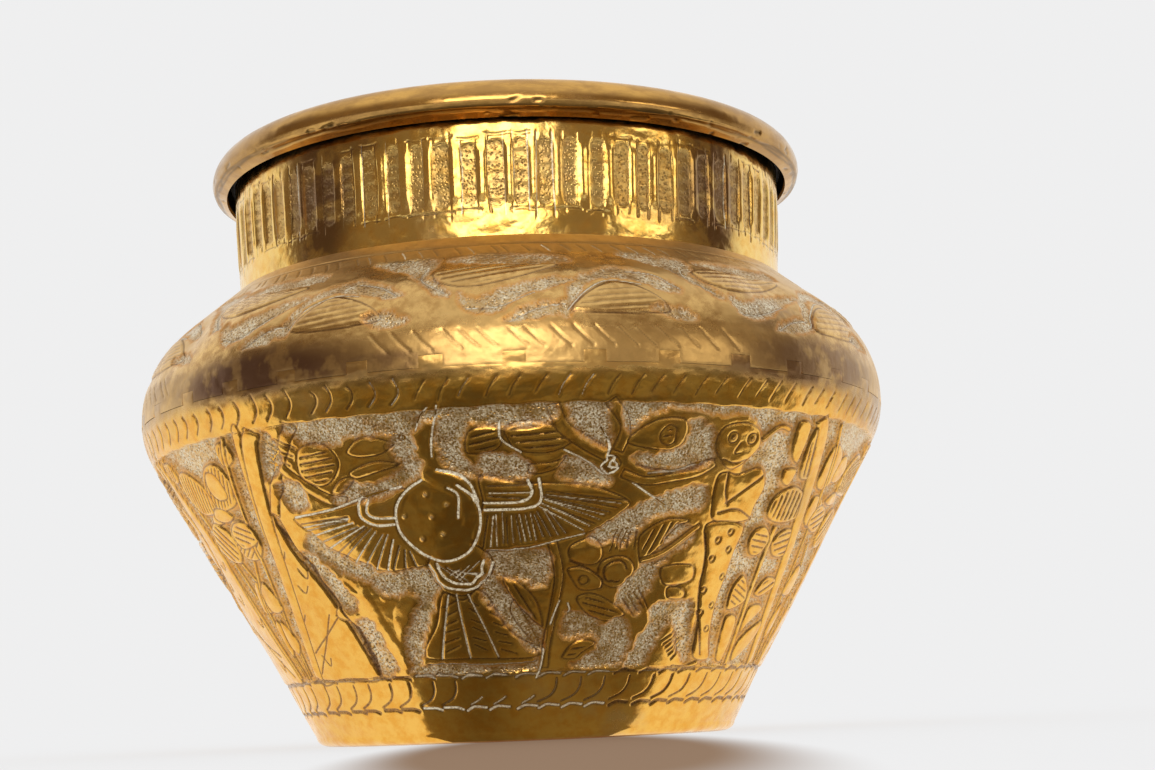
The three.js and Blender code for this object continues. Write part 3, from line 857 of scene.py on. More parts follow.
def border(canvas):
    """Two rows of short curved strokes with leaning strokes between them, above the foot."""
    for i in range(BORDER_COUNT):
        x = -180 + (i + 0.5) * 360 / BORDER_COUNT + rng.normal(0, 0.3)
        tilt = 0.55 * lean(x)
        chalk = kept_chalk(x, 25)
        low = [(x - 2.3, 7.4 - tilt), (x - 0.6, 7.9), (x + 1, 7.8), (x + 2.3, 7.4 + tilt * 0.4)]
        high = [(px, v + PANEL_LOW - 8.4) for px, v in low]
        canvas.stroke(low, 1.2, 0.42, chalk=chalk)
        canvas.stroke(high, 1.0, 0.36, chalk=chalk * 0.7)
        if lean(x) > 0 and x < 2:
            canvas.stroke([(x - 1.2, 8.6), (x + 0.6, 9.8), (x + 1.6, 10.8)], 0.9, 0.34, chalk=chalk * 0.8)
            if not chalk:
                canvas.stroke([(x - 1, 8.6), (x + 1.3, 10.6), (x + 2.2, 16)], 0.75, 0.34)
                canvas.stroke([(x - 2.6, 8.8), (x - 0.6, 11), (x - 0.2, 14.6)], 0.7, 0.28)
        else:
            slash = [(x - 2.6, 8.8), (x + 0.2, 10.6), (x + 1.4, 13), (x + 1.6, 15.8)]
            canvas.stroke(slash, 0.8, 0.36, chalk=chalk * 0.5)
    edge = [(d, PANEL_LOW - 0.7 + 0.4 * math.sin(d / 5)) for d in np.arange(-180, 181, 4)]
    canvas.stroke(edge, 0.7, 0.25, chalk=0.4)


def belly_strokes(canvas):
    """The row of small leaning strokes on the belly band."""
    for i in range(BELLY_STROKE_COUNT):
        x = -180 + i * 360 / BELLY_STROKE_COUNT + rng.normal(0, 0.25)
        chalk = kept_chalk(x + 12, 26) * rng.uniform(0, 0.8)
        drop = rng.normal(0, 0.4)
        if lean(x) > 0:
            canvas.stroke([(x - 0.5, 95.6 + drop), (x + 0.1, 98), (x + 1.1, 100.6)], 0.7, 0.24, chalk=chalk)
        else:
            bent = [(x - 0.7, 94.8), (x + 0.35, 97), (x + 0.5, 99), (x - 0.1, 101 + drop)]
            canvas.stroke(bent, 0.75, 0.3, chalk=chalk)


# The scroll of the shoulder


VINE_COUNT = 9
VINE_FROM = -25
SHOULDER_STROKE_COUNT = 120
SHOULDER_STAINS = (
    (-38, 1, 18, 7, 0.95), (-20, 0, 12, 3, 0.7), (40, 14, 6, 6, 0.55), (50, 2, 16, 7, 0.75),
    (-60, 4, 10, 4, 0.4), (110, 2, 22, 6, 0.8), (160, 10, 14, 7, 0.5), (-120, 3, 20, 6, 0.8),
    (-165, 2, 14, 5, 0.6), (85, 20, 9, 8, 0.5),
)


def vine(b):
    """One wave of the scroll: a leaf under the crest, a leaf over the hollow, and the ground between."""
    b.shape(
        (-6.4, 10.8), (-4.2, 17.6), (0, 21.4), (5, 18.6), (7.8, 12.4), (3.6, 9.8), (-2, 9.8),
        hatch=(6, 1.9, 0.18),
    )
    b.shape(
        (13.8, 28.6), (15.4, 22.4), (20, 20.2), (27, 22.6), (33, 28), (31, 31), (24, 31.4), (17, 30.6),
        hatch=(12, 2.3, 0.18),
    )
    b.patch(
        (-8.2, 12), (-5.9, 20), (-3, 25.8), (1, 27.8), (5, 26), (9.8, 19.6), (7.5, 19), (3.4, 22.6),
        (-1, 23.6), (-4.2, 21), (-5.9, 15.4), (-7, 11),
    )
    b.patch((-15.4, 9.2), (-12.5, 12.8), (-9.4, 13.8), (-7.8, 11.4), (-10.5, 9.4))
    b.patch((5.4, 12.8), (8.6, 13.6), (11.4, 11), (9.6, 9.6), (6.6, 10.6))
    b.patch(
        (3.6, 36.8), (8, 37.2), (14.4, 35.4), (14, 30), (13.4, 26.8), (15.6, 21.8), (17.2, 18.4),
        (15.2, 18.6), (12.4, 24.6), (10.2, 29.4), (6.4, 33),
    )
    b.patch((16.6, 34), (23, 36.2), (33.4, 34.4), (34.4, 32), (28, 31), (19, 32.4))
    b.patch(
        (18.3, 18), (19.8, 12.8), (23, 12.2), (28, 16.6), (34.4, 22.6), (30, 22), (25, 19.8), (21, 16.6),
    )
    b.chalk = 0.7
    b.line((-6.8, 12), (-4.4, 18), (-0.6, 22.2), (4, 20.6), width=0.7)
    b.line((9.6, 20), (6.6, 24.6), (2.6, 27), width=0.7)
    b.line((13.4, 31.4), (12.8, 26), (16.4, 19), width=0.7)
    b.line((-15, 9.4), (-11, 12.4), (-7, 14), width=0.6)
    b.line((19.6, 13.2), (23.4, 13.4), (29, 18), width=0.6)
    b.chalk = 0.0


SCROLL_LOW = 8
SCROLL_HIGH = 38


def draw_shoulder(canvas):
    """The scroll between two rows of strokes."""
    deg = canvas.deg[None, :]
    v = canvas.v[:, None]
    wave = np.sin(np.radians(deg * 5))
    canvas.panel[:] = ease((v - SCROLL_LOW - 0.4 * wave) / 1.5) * ease((SCROLL_HIGH + 0.5 * wave - v) / 1.5)
    canvas.cover[:] = 1
    canvas.dull[:] = 0.9 * np.maximum(ease((v - 35) / 4), ease((9 - v) / 5))
    for i in range(VINE_COUNT):
        start = VINE_FROM + i * 360 / VINE_COUNT + rng.normal(0, 0.6)
        vine(Brush(canvas, start, wobble=0.35))
    canvas.stain_at(SHOULDER_STAINS)
    pitch = 360 / SHOULDER_STROKE_COUNT
    for i in range(SHOULDER_STROKE_COUNT):
        x = -180 + i * pitch + rng.normal(0, 0.3)
        chalk = kept_chalk(x, 32) * rng.uniform(0, 1)
        canvas.stroke([(x - 0.8, 41.6), (x + 0.1, 39.2), (x + 0.5, 37.6)], 0.7, 0.2, chalk=chalk)
    for i in range(SHOULDER_STROKE_COUNT):
        x = -180 + i * pitch + rng.normal(0, 0.4)
        if math.sin(math.radians(x * 4 + 65)) > -0.3:
            canvas.stroke([(x - 1.2, 7.4), (x + 0.1, 4.6), (x + 1.5, 2)], 0.6, 0.2)
    canvas.stroke([(d, 42.6 + 0.25 * math.sin(d / 9)) for d in np.arange(-180, 181, 6)], 0.7, 0.2)


# The flutes of the collar


# The fifth oval darkens a band all round just under the rim.
COLLAR_STAINS = (
    (-39, 16, 8, 24, 0.85), (-34, 29, 12, 3, 0.6), (44, 16, 8, 24, 0.85), (47, 33, 10, 4, 0.7),
    (0, 37, 180, 4, 0.9), (95, 14, 12, 16, 0.6), (-110, 12, 14, 20, 0.6), (165, 18, 16, 14, 0.6),
)


def draw_collar(canvas):
    """Sunk stippled flutes with polished ribs between them, each cut a little differently."""
    canvas.stain_at(COLLAR_STAINS)
    pitch = 360 / FLUTE_COUNT
    for i in range(FLUTE_COUNT):
        x = -180 + (i + 0.5) * pitch + rng.normal(0, 0.22)
        half = FLUTE_HALF * rng.uniform(0.85, 1.12)
        low = FLUTE_LOW + rng.normal(0, 0.35)
        high = FLUTE_HIGH + rng.normal(0, 0.5)
        cells, d, vv, _ = canvas.window(np.array([(x - half, low), (x + half, high)]), 2)
        bend = 0.12 * np.sin(vv / rng.uniform(3, 6) + rng.uniform(0, 6))
        side = ease((half - np.abs(d - x - bend)) / 0.5 + 0.5)
        round_end = 1.2 * ((d - x) / half) ** 2
        ends = ease((vv - low - round_end) / 1.5) * ease((high - vv - round_end) / 1.5)
        sunk = side * ends
        canvas.lift("panel", cells, sunk)
        ripple = rng.uniform(0.05, 0.16) * (1 + np.sin(vv * rng.uniform(1.5, 2.4) + i)) * sunk
        canvas.lift("cut", cells, 0.5 * ripple)
        ridge_at = x + pitch / 2
        cells, d, vv, _ = canvas.window(np.array([(ridge_at - 1, low), (ridge_at + 1, high)]), 2)
        swell = ease(1.15 - np.abs(d - ridge_at) / 0.95) * ease((vv - low) / 4) * ease((high - vv) / 4)
        canvas.lift("crown", cells, rng.uniform(0.1, 0.3) * swell)
        canvas.lift("cover", cells, swell)
        for edge in (x - half, x + half):
            drift = rng.normal(0, 0.14, 3)
            start = low - 0.6 - abs(rng.normal(0, 0.9))
            end = high + 0.6 + abs(rng.normal(0, 0.5))
            line = [(edge + drift[0], start), (edge + drift[1], 18), (edge + drift[2], end)]
            depth = rng.uniform(0.08, 0.28)
            chalk = rng.uniform(0.2, 0.7) if rng.uniform() < 0.5 else 0.0
            canvas.stroke(line, 0.6, depth, chalk=chalk)
        if rng.uniform() < 0.65:
            dip = rng.uniform(0.4, 0.9)
            foot = [(x - half - 0.8, low - 0.7), (x, low - 0.9 + dip), (x + half + 0.8, low - 0.7)]
            canvas.stroke(foot, 0.6, 0.24)
        if rng.uniform() < 0.5:
            head = [(x - half - 0.6, high + 0.8), (x, high + 0.4), (x + half + 0.6, high + 0.8)]
            canvas.stroke(head, 0.6, 0.22)


# Meshes


SHARP_EDGE = math.radians(60)


def mesh_from(name, points, quads):
    mesh = bpy.data.meshes.new(name)
    mesh.vertices.add(len(points))
    mesh.vertices.foreach_set("co", np.ascontiguousarray(points, np.float32).ravel())
    mesh.loops.add(quads.size)
    mesh.loops.foreach_set("vertex_index", np.ascontiguousarray(quads, np.int32).ravel())
    mesh.polygons.add(len(quads))
    mesh.polygons.foreach_set("loop_start", np.arange(0, quads.size, 4, dtype=np.int32))
    mesh.polygons.foreach_set("use_smooth", np.ones(len(quads), bool))
    mesh.update(calc_edges=True)
    mesh.set_sharp_from_angle(angle=SHARP_EDGE)
    item = bpy.data.objects.new(name, mesh)
    bpy.context.scene.collection.objects.link(item)
    return item


def mark(item, name, values):
    layer = item.data.attributes.new(name, "FLOAT", "POINT")
    layer.data.foreach_set("value", np.ascontiguousarray(values, np.float32).ravel())


FINE_HALF = 68
FINE_BLEND = 16
FINE_TRIAL = 0.05


def columns(front=0.2, back=0.4):
    """Degrees of the grid's columns: close together in front, wider behind."""
    edge = np.arange(-180, 180, FINE_TRIAL)
    step = back + (front - back) * ease((FINE_HALF + FINE_BLEND / 2 - np.abs(edge)) / FINE_BLEND)
    total = np.cumsum(FINE_TRIAL / step)
    count = int(total[-1])
    return np.interp(np.arange(count) * total[-1] / count, np.concatenate([[0], total[:-1]]), edge)


BULGE = 1.7
BULGE_AT = (-88, 84)
BULGE_SIZE = (38, 34)


def handmade(degrees, height):
    """Millimetres by which the hammered wall strays from a true circle, most on its left."""
    a = np.radians(degrees)[None, :]
    h = height[:, None]
    belly = np.exp(-(((h - BULGE_AT[1]) / BULGE_SIZE[1]) ** 2))
    left = BULGE * belly * np.exp(-(((degrees[None, :] - BULGE_AT[0]) / BULGE_SIZE[0]) ** 2))
    slow = 0.35 * np.sin(2 * a + 0.6) + 0.25 * np.sin(3 * a + h / 25) + 0.16 * np.sin(7 * a + h / 9)
    return left + slow * ease(h / 20)


DENTS = (
    (-57, 113, 9, 1.1), (42, 119, 10, 1.3), (18, 104, 8, 0.5), (-100, 116, 12, 0.9), (150, 112, 13, 1.2),
    (-160, 60, 14, 0.8),
)


def dents(degrees, height, radius):
    """Millimetres knocked in; each dent has degrees, a height, a size and a depth."""
    total = np.zeros((len(height), len(degrees)))
    for x, z, size, depth in DENTS:
        across = (degrees[None, :] - x) * radius[:, None] * math.pi / 180
        total += depth * np.exp(-((across / size) ** 2) - ((height[:, None] - z) / (0.6 * size)) ** 2)
    return total


def revolve(degrees, radius, height):
    a = np.radians(degrees)[None, :]
    return np.stack([radius * np.sin(a), -radius * np.cos(a), height + 0 * a], -1) * MM


def grid_quads(rows, count, offset=0, flip=False):
    i = np.arange(rows - 1)[:, None] * count
    j = np.arange(count)[None, :]
    k = (j + 1) % count
    quads = np.stack([i + j, i + k, i + count + k, i + count + j], -1).reshape(-1, 4) + offset
    return quads[:, ::-1] if flip else quads


def bridge(first, second):
    """Quads between two closed rings of point numbers."""
    return np.stack([first, np.roll(first, -1), np.roll(second, -1), second], 1)


def sheet_mesh(
    name, section, canvas, degrees, rows, inner_rows, thickness, ground_depth, shared=None, keep=None
):
    """A closed sheet: a fine chased outside, a plainer inside, and edges between them.

    shared gives the rows that both sides hold, and keep says which of their cells are metal, so that tabs
    can be cut out of the sheet."""
    radius, height = section.at(rows)
    nr, nz = section.normal(rows)
    relief = canvas.sample(canvas.heights(ground_depth), degrees, rows)
    stray = handmade(degrees, height) - dents(degrees, height, radius)
    fade = stray_fade(height)[:, None]
    push = relief + stray * fade
    outer = revolve(degrees, radius[:, None] + nr[:, None] * push, height[:, None] + nz[:, None] * push)
    r_in, z_in = section.at(inner_rows)
    nr_in, nz_in = section.normal(inner_rows)
    depth = (handmade(degrees, z_in) - dents(degrees, z_in, r_in)) * stray_fade(z_in)[:, None] - thickness
    inner = revolve(degrees, r_in[:, None] + nr_in[:, None] * depth, z_in[:, None] + nz_in[:, None] * depth)
    count = len(degrees)
    points = np.vstack([outer.reshape(-1, 3), inner.reshape(-1, 3)])
    base = len(rows) * count
    outside = grid_quads(len(rows), count)
    inside = grid_quads(len(inner_rows), count, base, flip=True)
    if shared is None:
        ring = np.arange(count)
        last = base + (len(inner_rows) - 1) * count
        walls = [bridge(ring + base, ring), bridge(ring + base - count, ring + last)]
    else:
        outside, inside, walls = cut_cells(rows, inner_rows, degrees, base, outside, inside, shared, keep)
    item = mesh_from(name, points, np.vstack([outside, inside] + walls))
    marks = {
        "ground": canvas.panel * (1 - canvas.cover),
        # edge marks the slopes round the plates; the material tints them orange as a painted reflection of
        # brass in brass.
        "edge": 4 * canvas.cover * (1 - canvas.cover) * canvas.panel,
        "dull": canvas.dull,
        "stain": canvas.stain,
        "chalk": canvas.chalk,
    }
    values = {key: canvas.sample(field, degrees, rows) for key, field in marks.items()}
    values["cut"] = np.clip(canvas.sample(canvas.cut, degrees, rows) / CUT_DEPTH, 0, 1)
    flat = np.zeros(len(inner_rows) * count)
    for key, value in values.items():
        mark(item, key, np.concatenate([value.ravel(), flat]))
    mark(item, "inside", np.concatenate([np.zeros(base), flat + 1]))
    return item


def stray_fade(height):
    """The hand-made shape dies out at the base and at the crease, so that the sheets still meet."""
    return ease(height / 12) * ease((CREASE_HEIGHT - height) / 14)


def cut_cells(rows, inner_rows, degrees, base, outside, inside, shared, keep):
    """Cuts tabs: keeps some of the cells in the rows that both sides share, and closes their edges."""
    count = len(degrees)
    out_row = np.array([int(np.argmin(np.abs(rows - v))) for v in shared])
    in_row = np.array([int(np.argmin(np.abs(inner_rows - v))) for v in shared])
    middle_v = 0.5 * (shared[:-1] + shared[1:])
    middle_x = degrees + 0.5 * (np.roll(degrees, -1) - degrees) % 180
    kept = keep(middle_x[None, :], middle_v[:, None])
    cells = np.ones((len(rows) - 1, count), bool)
    cells_in = np.ones((len(inner_rows) - 1, count), bool)
    cells[out_row[:-1]] = kept
    cells_in[in_row[:-1]] = kept
    outside = outside[cells.ravel()]
    inside = inside[cells_in.ravel()]
    walls = []
    j = np.arange(count)
    k = (j + 1) % count

    def rims(row_out, row_in, need_below, need_above):
        o, n = row_out * count, base + row_in * count
        below = j[need_below]
        walls.append(np.stack([n + below, n + k[below], o + k[below], o + below], 1))
        above = j[need_above]
        walls.append(np.stack([o + above, o + k[above], n + k[above], n + above], 1))

    full = np.ones(count, bool)
    empty = np.zeros(count, bool)
    starts_sheet = out_row[0] == 0
    ends_sheet = out_row[-1] == len(rows) - 1
    levels = [empty if starts_sheet else full] + list(kept) + [empty if ends_sheet else full]
    for i, (below, above) in enumerate(zip(levels[:-1], levels[1:])):
        rims(out_row[i], in_row[i], above & ~below, below & ~above)
    if not starts_sheet:
        rims(0, 0, full, empty)
    if not ends_sheet:
        rims(len(rows) - 1, len(inner_rows) - 1, empty, full)
    for i in range(len(kept)):
        left = np.roll(kept[i], 1)
        o0, o1 = out_row[i] * count, out_row[i + 1] * count
        n0, n1 = base + in_row[i] * count, base + in_row[i + 1] * count
        start = j[kept[i] & ~left]
        walls.append(np.stack([o0 + start, o1 + start, n1 + start, n0 + start], 1))
        end = j[~kept[i] & left]
        walls.append(np.stack([n0 + end, n1 + end, o1 + end, o0 + end], 1))
    return outside, inside, walls


def drop_loose(item):
    """Deletes the points that no face uses, left where tabs were cut out."""
    used = np.zeros(len(item.data.vertices), bool)
    corners = np.empty(len(item.data.loops), np.int32)
    item.data.loops.foreach_get("vertex_index", corners)
    used[corners] = True
    if used.all():
        return item
    mesh = bmesh.new()
    mesh.from_mesh(item.data)
    mesh.verts.ensure_lookup_table()
    bmesh.ops.delete(mesh, geom=[mesh.verts[int(i)] for i in np.nonzero(~used)[0]], context="VERTS")
    mesh.to_mesh(item.data)
    mesh.free()
    return item


# Rows


TAB_STEP = 0.4


def spaced(low, high, step):
    return np.linspace(low, high, max(2, int(round((high - low) / step)) + 1))


def tab_middles(number=np.arange(TAB_COUNT)):
    """Degrees at which the tabs stand; they were cut by hand, so they drift a little."""
    return (number + 0.5) * 360 / TAB_COUNT - 90 + math.degrees(0.5 / BELLY_RADIUS) * np.sin(number * 2.4)


def is_tab(x):
    number = np.floor((x + 90) * TAB_COUNT / 360)
    return np.abs(x - tab_middles(number)) < math.degrees(TAB_WIDTH / 2 / BELLY_RADIUS)


def seam_line(canvas, low, high):
    """The hammered-down seam: a thin line that steps up and down round the tabs."""
    middles = tab_middles()
    half = math.degrees(TAB_WIDTH / 2 / BELLY_RADIUS)
    for centre, after in zip(middles, np.append(middles[1:], middles[0] + 360)):
        steps = [(centre - half, low), (centre - half, high), (centre + half, high), (centre + half, low)]
        for step in zip(steps, steps[1:] + [(after - half, low)]):
            canvas.stroke(step, 0.5, rng.uniform(0.02, 0.06))


FOOT_POINTS = 30


def walk_to(section, height):
    """How far up the wall a height lies, past the points of the foot."""
    return float(np.interp(height, section.points[FOOT_POINTS:, 1], section.walk[FOOT_POINTS:]))


def lower_body():
    section = body_section()
    seam = walk_to(section, SEAM_HEIGHT)
    top = walk_to(section, TAB_TOP)
    canvas = Canvas(section, section.walk[0], section.walk[-1])
    draw_body(canvas)
    seam_line(canvas, seam, top)
    degrees = columns()
    shared = spaced(seam, top, TAB_STEP)
    rows = np.concatenate([spaced(section.walk[0], -0.5, 0.7), spaced(-0.2, seam - 0.35, 0.36), shared])
    inner_rows = np.concatenate([spaced(section.walk[0] + 0.8, -3, 1.6), spaced(2.2, seam - 1.5, 3), shared])
    item = sheet_mesh(
        "lower_body_chased", section, canvas, degrees, rows, inner_rows, SHEET, BODY_GROUND, shared,
        lambda x, v: is_tab(x) | (v < seam),
    )
    return drop_loose(item)


def shoulder():
    section = shoulder_section()
    low = section.walk[0]
    tab_end = low + TAB_TOP - SEAM_HEIGHT
    canvas = Canvas(section, low, section.walk[-1])
    draw_shoulder(canvas)
    seam_line(canvas, low, tab_end)
    degrees = columns()
    shared = spaced(low, tab_end, TAB_STEP)
    rows = np.concatenate([shared, spaced(tab_end + 0.4, section.walk[-1], 0.45)])
    inner_rows = np.concatenate([shared, spaced(tab_end + 1.5, section.walk[-1], 3)])
    item = sheet_mesh(
        "shoulder_chased", section, canvas, degrees, rows, inner_rows, SHEET, SHOULDER_GROUND, shared,
        lambda x, v: ~is_tab(x) | (v > tab_end),
    )
    return drop_loose(item)


def collar():
    section = collar_section()
    canvas = Canvas(section, section.walk[0], section.walk[-1])
    draw_collar(canvas)
    degrees = columns()
    rows = spaced(section.walk[0], section.walk[-1], 0.42)
    inner_rows = spaced(section.walk[0], section.walk[-1], 2.5)
    return sheet_mesh(
        "neck_collar_fluted", section, canvas, degrees, rows, inner_rows, COLLAR_SHEET, COLLAR_GROUND
    )


RIM_STAINS = (
    (-66, 8, 30, 9, 0.9), (62, 7, 30, 8, 0.8), (-95, 12, 20, 8, 0.7), (92, 10, 18, 8, 0.9),
    (0, 3, 60, 3, 0.6), (150, 8, 24, 8, 0.7), (-150, 9, 22, 8, 0.7),
)
RIM_FOLDS = 3
RIM_NICKS = 80


def rim():
    section = rim_section()
    canvas = Canvas(section, 0, section.walk[-1])
    degrees = columns(0.35, 0.6)
    rows = spaced(0, section.walk[-1], 0.45)
    inner_rows = spaced(0.2, section.walk[-1] - 0.1, 0.9)
    canvas.stain_at(RIM_STAINS)
    for _ in range(RIM_FOLDS):
        start = rng.uniform(0, 6)
        turn = np.arange(-180, 181, 5)
        fold = [(d, 3.2 + 0.7 * math.sin(d / 7 + start) + rng.normal(0, 0.25)) for d in turn]
        canvas.stroke(fold, 0.8, 0.25)
    for _ in range(RIM_NICKS):
        x = rng.uniform(-180, 180)
        v = rng.uniform(0.3, 6)
        end = (x + rng.normal(0, 1.2), v + rng.normal(0, 0.7))
        width, depth = rng.uniform(0.7, 1.6), rng.uniform(0.1, 0.35)
        canvas.stroke([(x, v), end], width, depth, curved=False)
    return sheet_mesh("rim_ring_turned", section, canvas, degrees, rows, inner_rows, RIM_SHEET, RIM_GROUND)


# Materials


class Nodes:
    """A short way to write a node tree."""

    def __init__(self, tree):
        self.tree = tree

    def add(self, kind, **settings):
        node = self.tree.nodes.new(kind)
        for key, value in settings.items():
            setattr(node, key, value)
        return node

    def link(self, source, socket):
        """Joins an output to a socket, or sets the socket to a number or a colour."""
        if isinstance(source, (int, float)):
            socket.default_value = source
        elif isinstance(source, tuple):
            socket.default_value = (*source, 1)
        else:
            self.tree.links.new(source, socket)

    def filled(self, kind, inputs, **settings):
        node = self.add(kind, **settings)
        for key, value in inputs.items():
            self.link(value, node.inputs[key])
        return node

    def math(self, operation, a, b=0.0):
        return self.filled("ShaderNodeMath", {0: a, 1: b}, operation=operation).outputs[0]

    def ramp(self, value, low, high, out_low=0.0, out_high=1.0):
        inputs = {"Value": value, "From Min": low, "From Max": high, "To Min": out_low, "To Max": out_high}
        return self.filled("ShaderNodeMapRange", inputs, interpolation_type="SMOOTHSTEP").outputs["Result"]

    def mix(self, factor, a, b):
        node = self.filled("ShaderNodeMix", {"Factor": factor, "A": a, "B": b}, data_type="RGBA")
        return next(output for output in node.outputs if output.type == "RGBA")

    def blend(self, factor, a, b):
        inputs = {"Factor": factor, "A": a, "B": b}
        return self.filled("ShaderNodeMix", inputs, data_type="FLOAT").outputs["Result"]


class Surface(Nodes):
    """The node tree of a new material. Sizes are in millimetres."""

    def __init__(self, name):
        self.material = bpy.data.materials.new(name)
        self.material.use_nodes = True
        super().__init__(self.material.node_tree)
        self.shader = self.tree.nodes["Principled BSDF"]
        self.place = self.add("ShaderNodeTexCoord").outputs["Object"]

    def feed(self, **inputs):
        """Links the shader's inputs; an underscore stands for a space in their names."""
        for key, value in inputs.items():
            self.link(value, self.shader.inputs[key.replace("_", " ")])

    def attribute(self, name):
        return self.add("ShaderNodeAttribute", attribute_name=name).outputs["Fac"]

    def noise(self, size, detail=3, roughness=0.55, stretch=None):
        place = self.place
        if stretch is not None:
            mapping = self.add("ShaderNodeMapping")
            mapping.inputs["Scale"].default_value = stretch
            self.link(self.place, mapping.inputs["Vector"])
            place = mapping.outputs["Vector"]
        inputs = {"Scale": 1 / (size * MM), "Detail": detail, "Roughness": roughness, "Vector": place}
        return self.filled("ShaderNodeTexNoise", inputs).outputs["Fac"]

    def cells(self, size):
        inputs = {"Scale": 1 / (size * MM), "Vector": self.place}
        return self.filled("ShaderNodeTexVoronoi", inputs, feature="F1").outputs["Distance"]

    def bump(self, height, distance, strength=1.0, below=None):
        inputs = {"Strength": strength, "Distance": distance * MM, "Height": height}
        if below is not None:
            inputs["Normal"] = below
        return self.filled("ShaderNodeBump", inputs).outputs["Normal"]


GOLD = (0.92, 0.53, 0.11)
DEEP_GOLD = (0.84, 0.41, 0.06)
BRIGHT_GOLD = (0.97, 0.66, 0.20)
TAN = (0.72, 0.46, 0.17)
DEEP_TAN = (0.55, 0.31, 0.10)
DULL_GOLD = (0.86, 0.55, 0.20)
RIM_GOLD = (0.86, 0.50, 0.14)
RIM_DEEP = (0.62, 0.35, 0.11)
RIM_BROWN = (0.35, 0.19, 0.06)
BROWN = (0.30, 0.17, 0.07)
PURPLE_BROWN = (0.17, 0.085, 0.05)
RESIDUE = (0.90, 0.82, 0.60)
SLOPE_REFLECTION_ORANGE = (0.85, 0.36, 0.05)
CHALK = (0.93, 0.85, 0.63)
CUT_DARK = (0.05, 0.03, 0.015)
RIM_HIDDEN_BLACK = (0.012, 0.011, 0.012)
BRAZE_PALE = (0.45, 0.33, 0.16)
SOLDER_GREY = (0.12, 0.12, 0.13)
SOLDER_DARK = (0.03, 0.03, 0.03)


def chased_brass(
    name, polish, deep, clouds, residue, bare, shine, hammer, browned=0.4, matt=0.32, punch=0.4
):
    """Brass with polished high spots, tarnish in clouds, a stippled ground, a darker colour in the cuts and a
    painted orange reflection on the slopes round the plates.

    polish and deep are its two tones, and clouds says where tarnish starts and is full. residue is how
    thickly dried polish lies on the ground, and bare how much of the ground it has left. shine is how rough
    the polish is, hammer the depth of the hammered waves, browned how brown the ground is, matt how rough it
    is, and punch how deep its stipple is."""
    n = Surface(name)
    ground, cut, edge = n.attribute("ground"), n.attribute("cut"), n.attribute("edge")
    mottle = n.noise(3.2, 3, 0.6)
    speck = n.noise(0.55, 2, 0.6)
    pits = n.cells(0.85)
    tarnish = n.ramp(n.noise(22, 4, 0.6), *clouds)
    tarnish = n.math("MAXIMUM", tarnish, n.math("MULTIPLY", n.attribute("dull"), 0.85))
    metal = n.mix(n.ramp(mottle, 0.35, 0.7), polish, deep)
    metal = n.mix(n.math("MULTIPLY", tarnish, 0.9), metal, TAN)
    blotch = n.ramp(n.noise(7, 3, 0.6), 0.34, 0.56)
    stained = n.math("MULTIPLY", n.attribute("stain"), n.ramp(blotch, 0, 1, 0.55, 1.0))
    metal = n.mix(stained, metal, PURPLE_BROWN)
    chalky = n.ramp(n.noise(0.6, 3, 0.8), 0.36, 0.63, 0.0, residue)
    kept = n.ramp(n.noise(7, 4, 0.7), bare, bare + 0.22, 0.25, 1.0)
    pale = n.math("MULTIPLY", n.math("MULTIPLY", ground, chalky), kept)
    dark_pit = n.math("MULTIPLY", ground, n.ramp(pits, 0.08, 0.34, 0.85, 0.0))
    # Painted reflection: the slopes round the plates are tinted orange.
    metal = n.mix(n.math("MULTIPLY", edge, 0.6), metal, SLOPE_REFLECTION_ORANGE)
    metal = n.mix(n.math("MULTIPLY", ground, browned), metal, BROWN)
    metal = n.mix(pale, metal, RESIDUE)
    metal = n.mix(dark_pit, metal, BROWN)
    # The chased cuts are coloured darker purple-brown.
    darker_in_cuts = n.math("MULTIPLY", n.ramp(cut, 0.15, 0.8), n.ramp(speck, 0.3, 0.75, 0.6, 0.95))
    metal = n.mix(darker_in_cuts, metal, PURPLE_BROWN)
    chalk = n.math("MULTIPLY", n.ramp(n.attribute("chalk"), 0.2, 0.7), n.ramp(speck, 0.3, 0.6, 0.45, 1.0))
    metal = n.mix(chalk, metal, CHALK)
    filled = n.math("MAXIMUM", n.math("MULTIPLY", pale, 0.8), chalk)
    rough = n.ramp(mottle, 0.3, 0.75, shine, shine + 0.1)
    rough = n.blend(tarnish, rough, shine + 0.16)
    rough = n.blend(ground, rough, matt)
    rough = n.blend(n.math("MULTIPLY", edge, 0.9), rough, 0.52)
    rough = n.blend(n.math("MULTIPLY", cut, 0.5), rough, 0.4)
    wide = n.bump(n.noise(12, 2, 0.5, stretch=(1, 1, 1.8)), hammer)
    soft = n.bump(n.noise(3.2, 2, 0.5), 0.14, 0.8, wide)
    fine = n.bump(n.noise(0.35, 2, 0.6), 0.015, 0.5, soft)
    beaten = n.bump(n.math("MULTIPLY", n.noise(4.5, 2, 0.5), ground), 1.25 * punch, 1.0, fine)
    punched = n.bump(n.math("MULTIPLY", n.math("MINIMUM", pits, 0.5), ground), punch, 1.0, beaten)
    n.feed(Base_Color=metal, Metallic=n.math("SUBTRACT", 1.0, filled), Roughness=rough, Normal=punched)
    return n.material


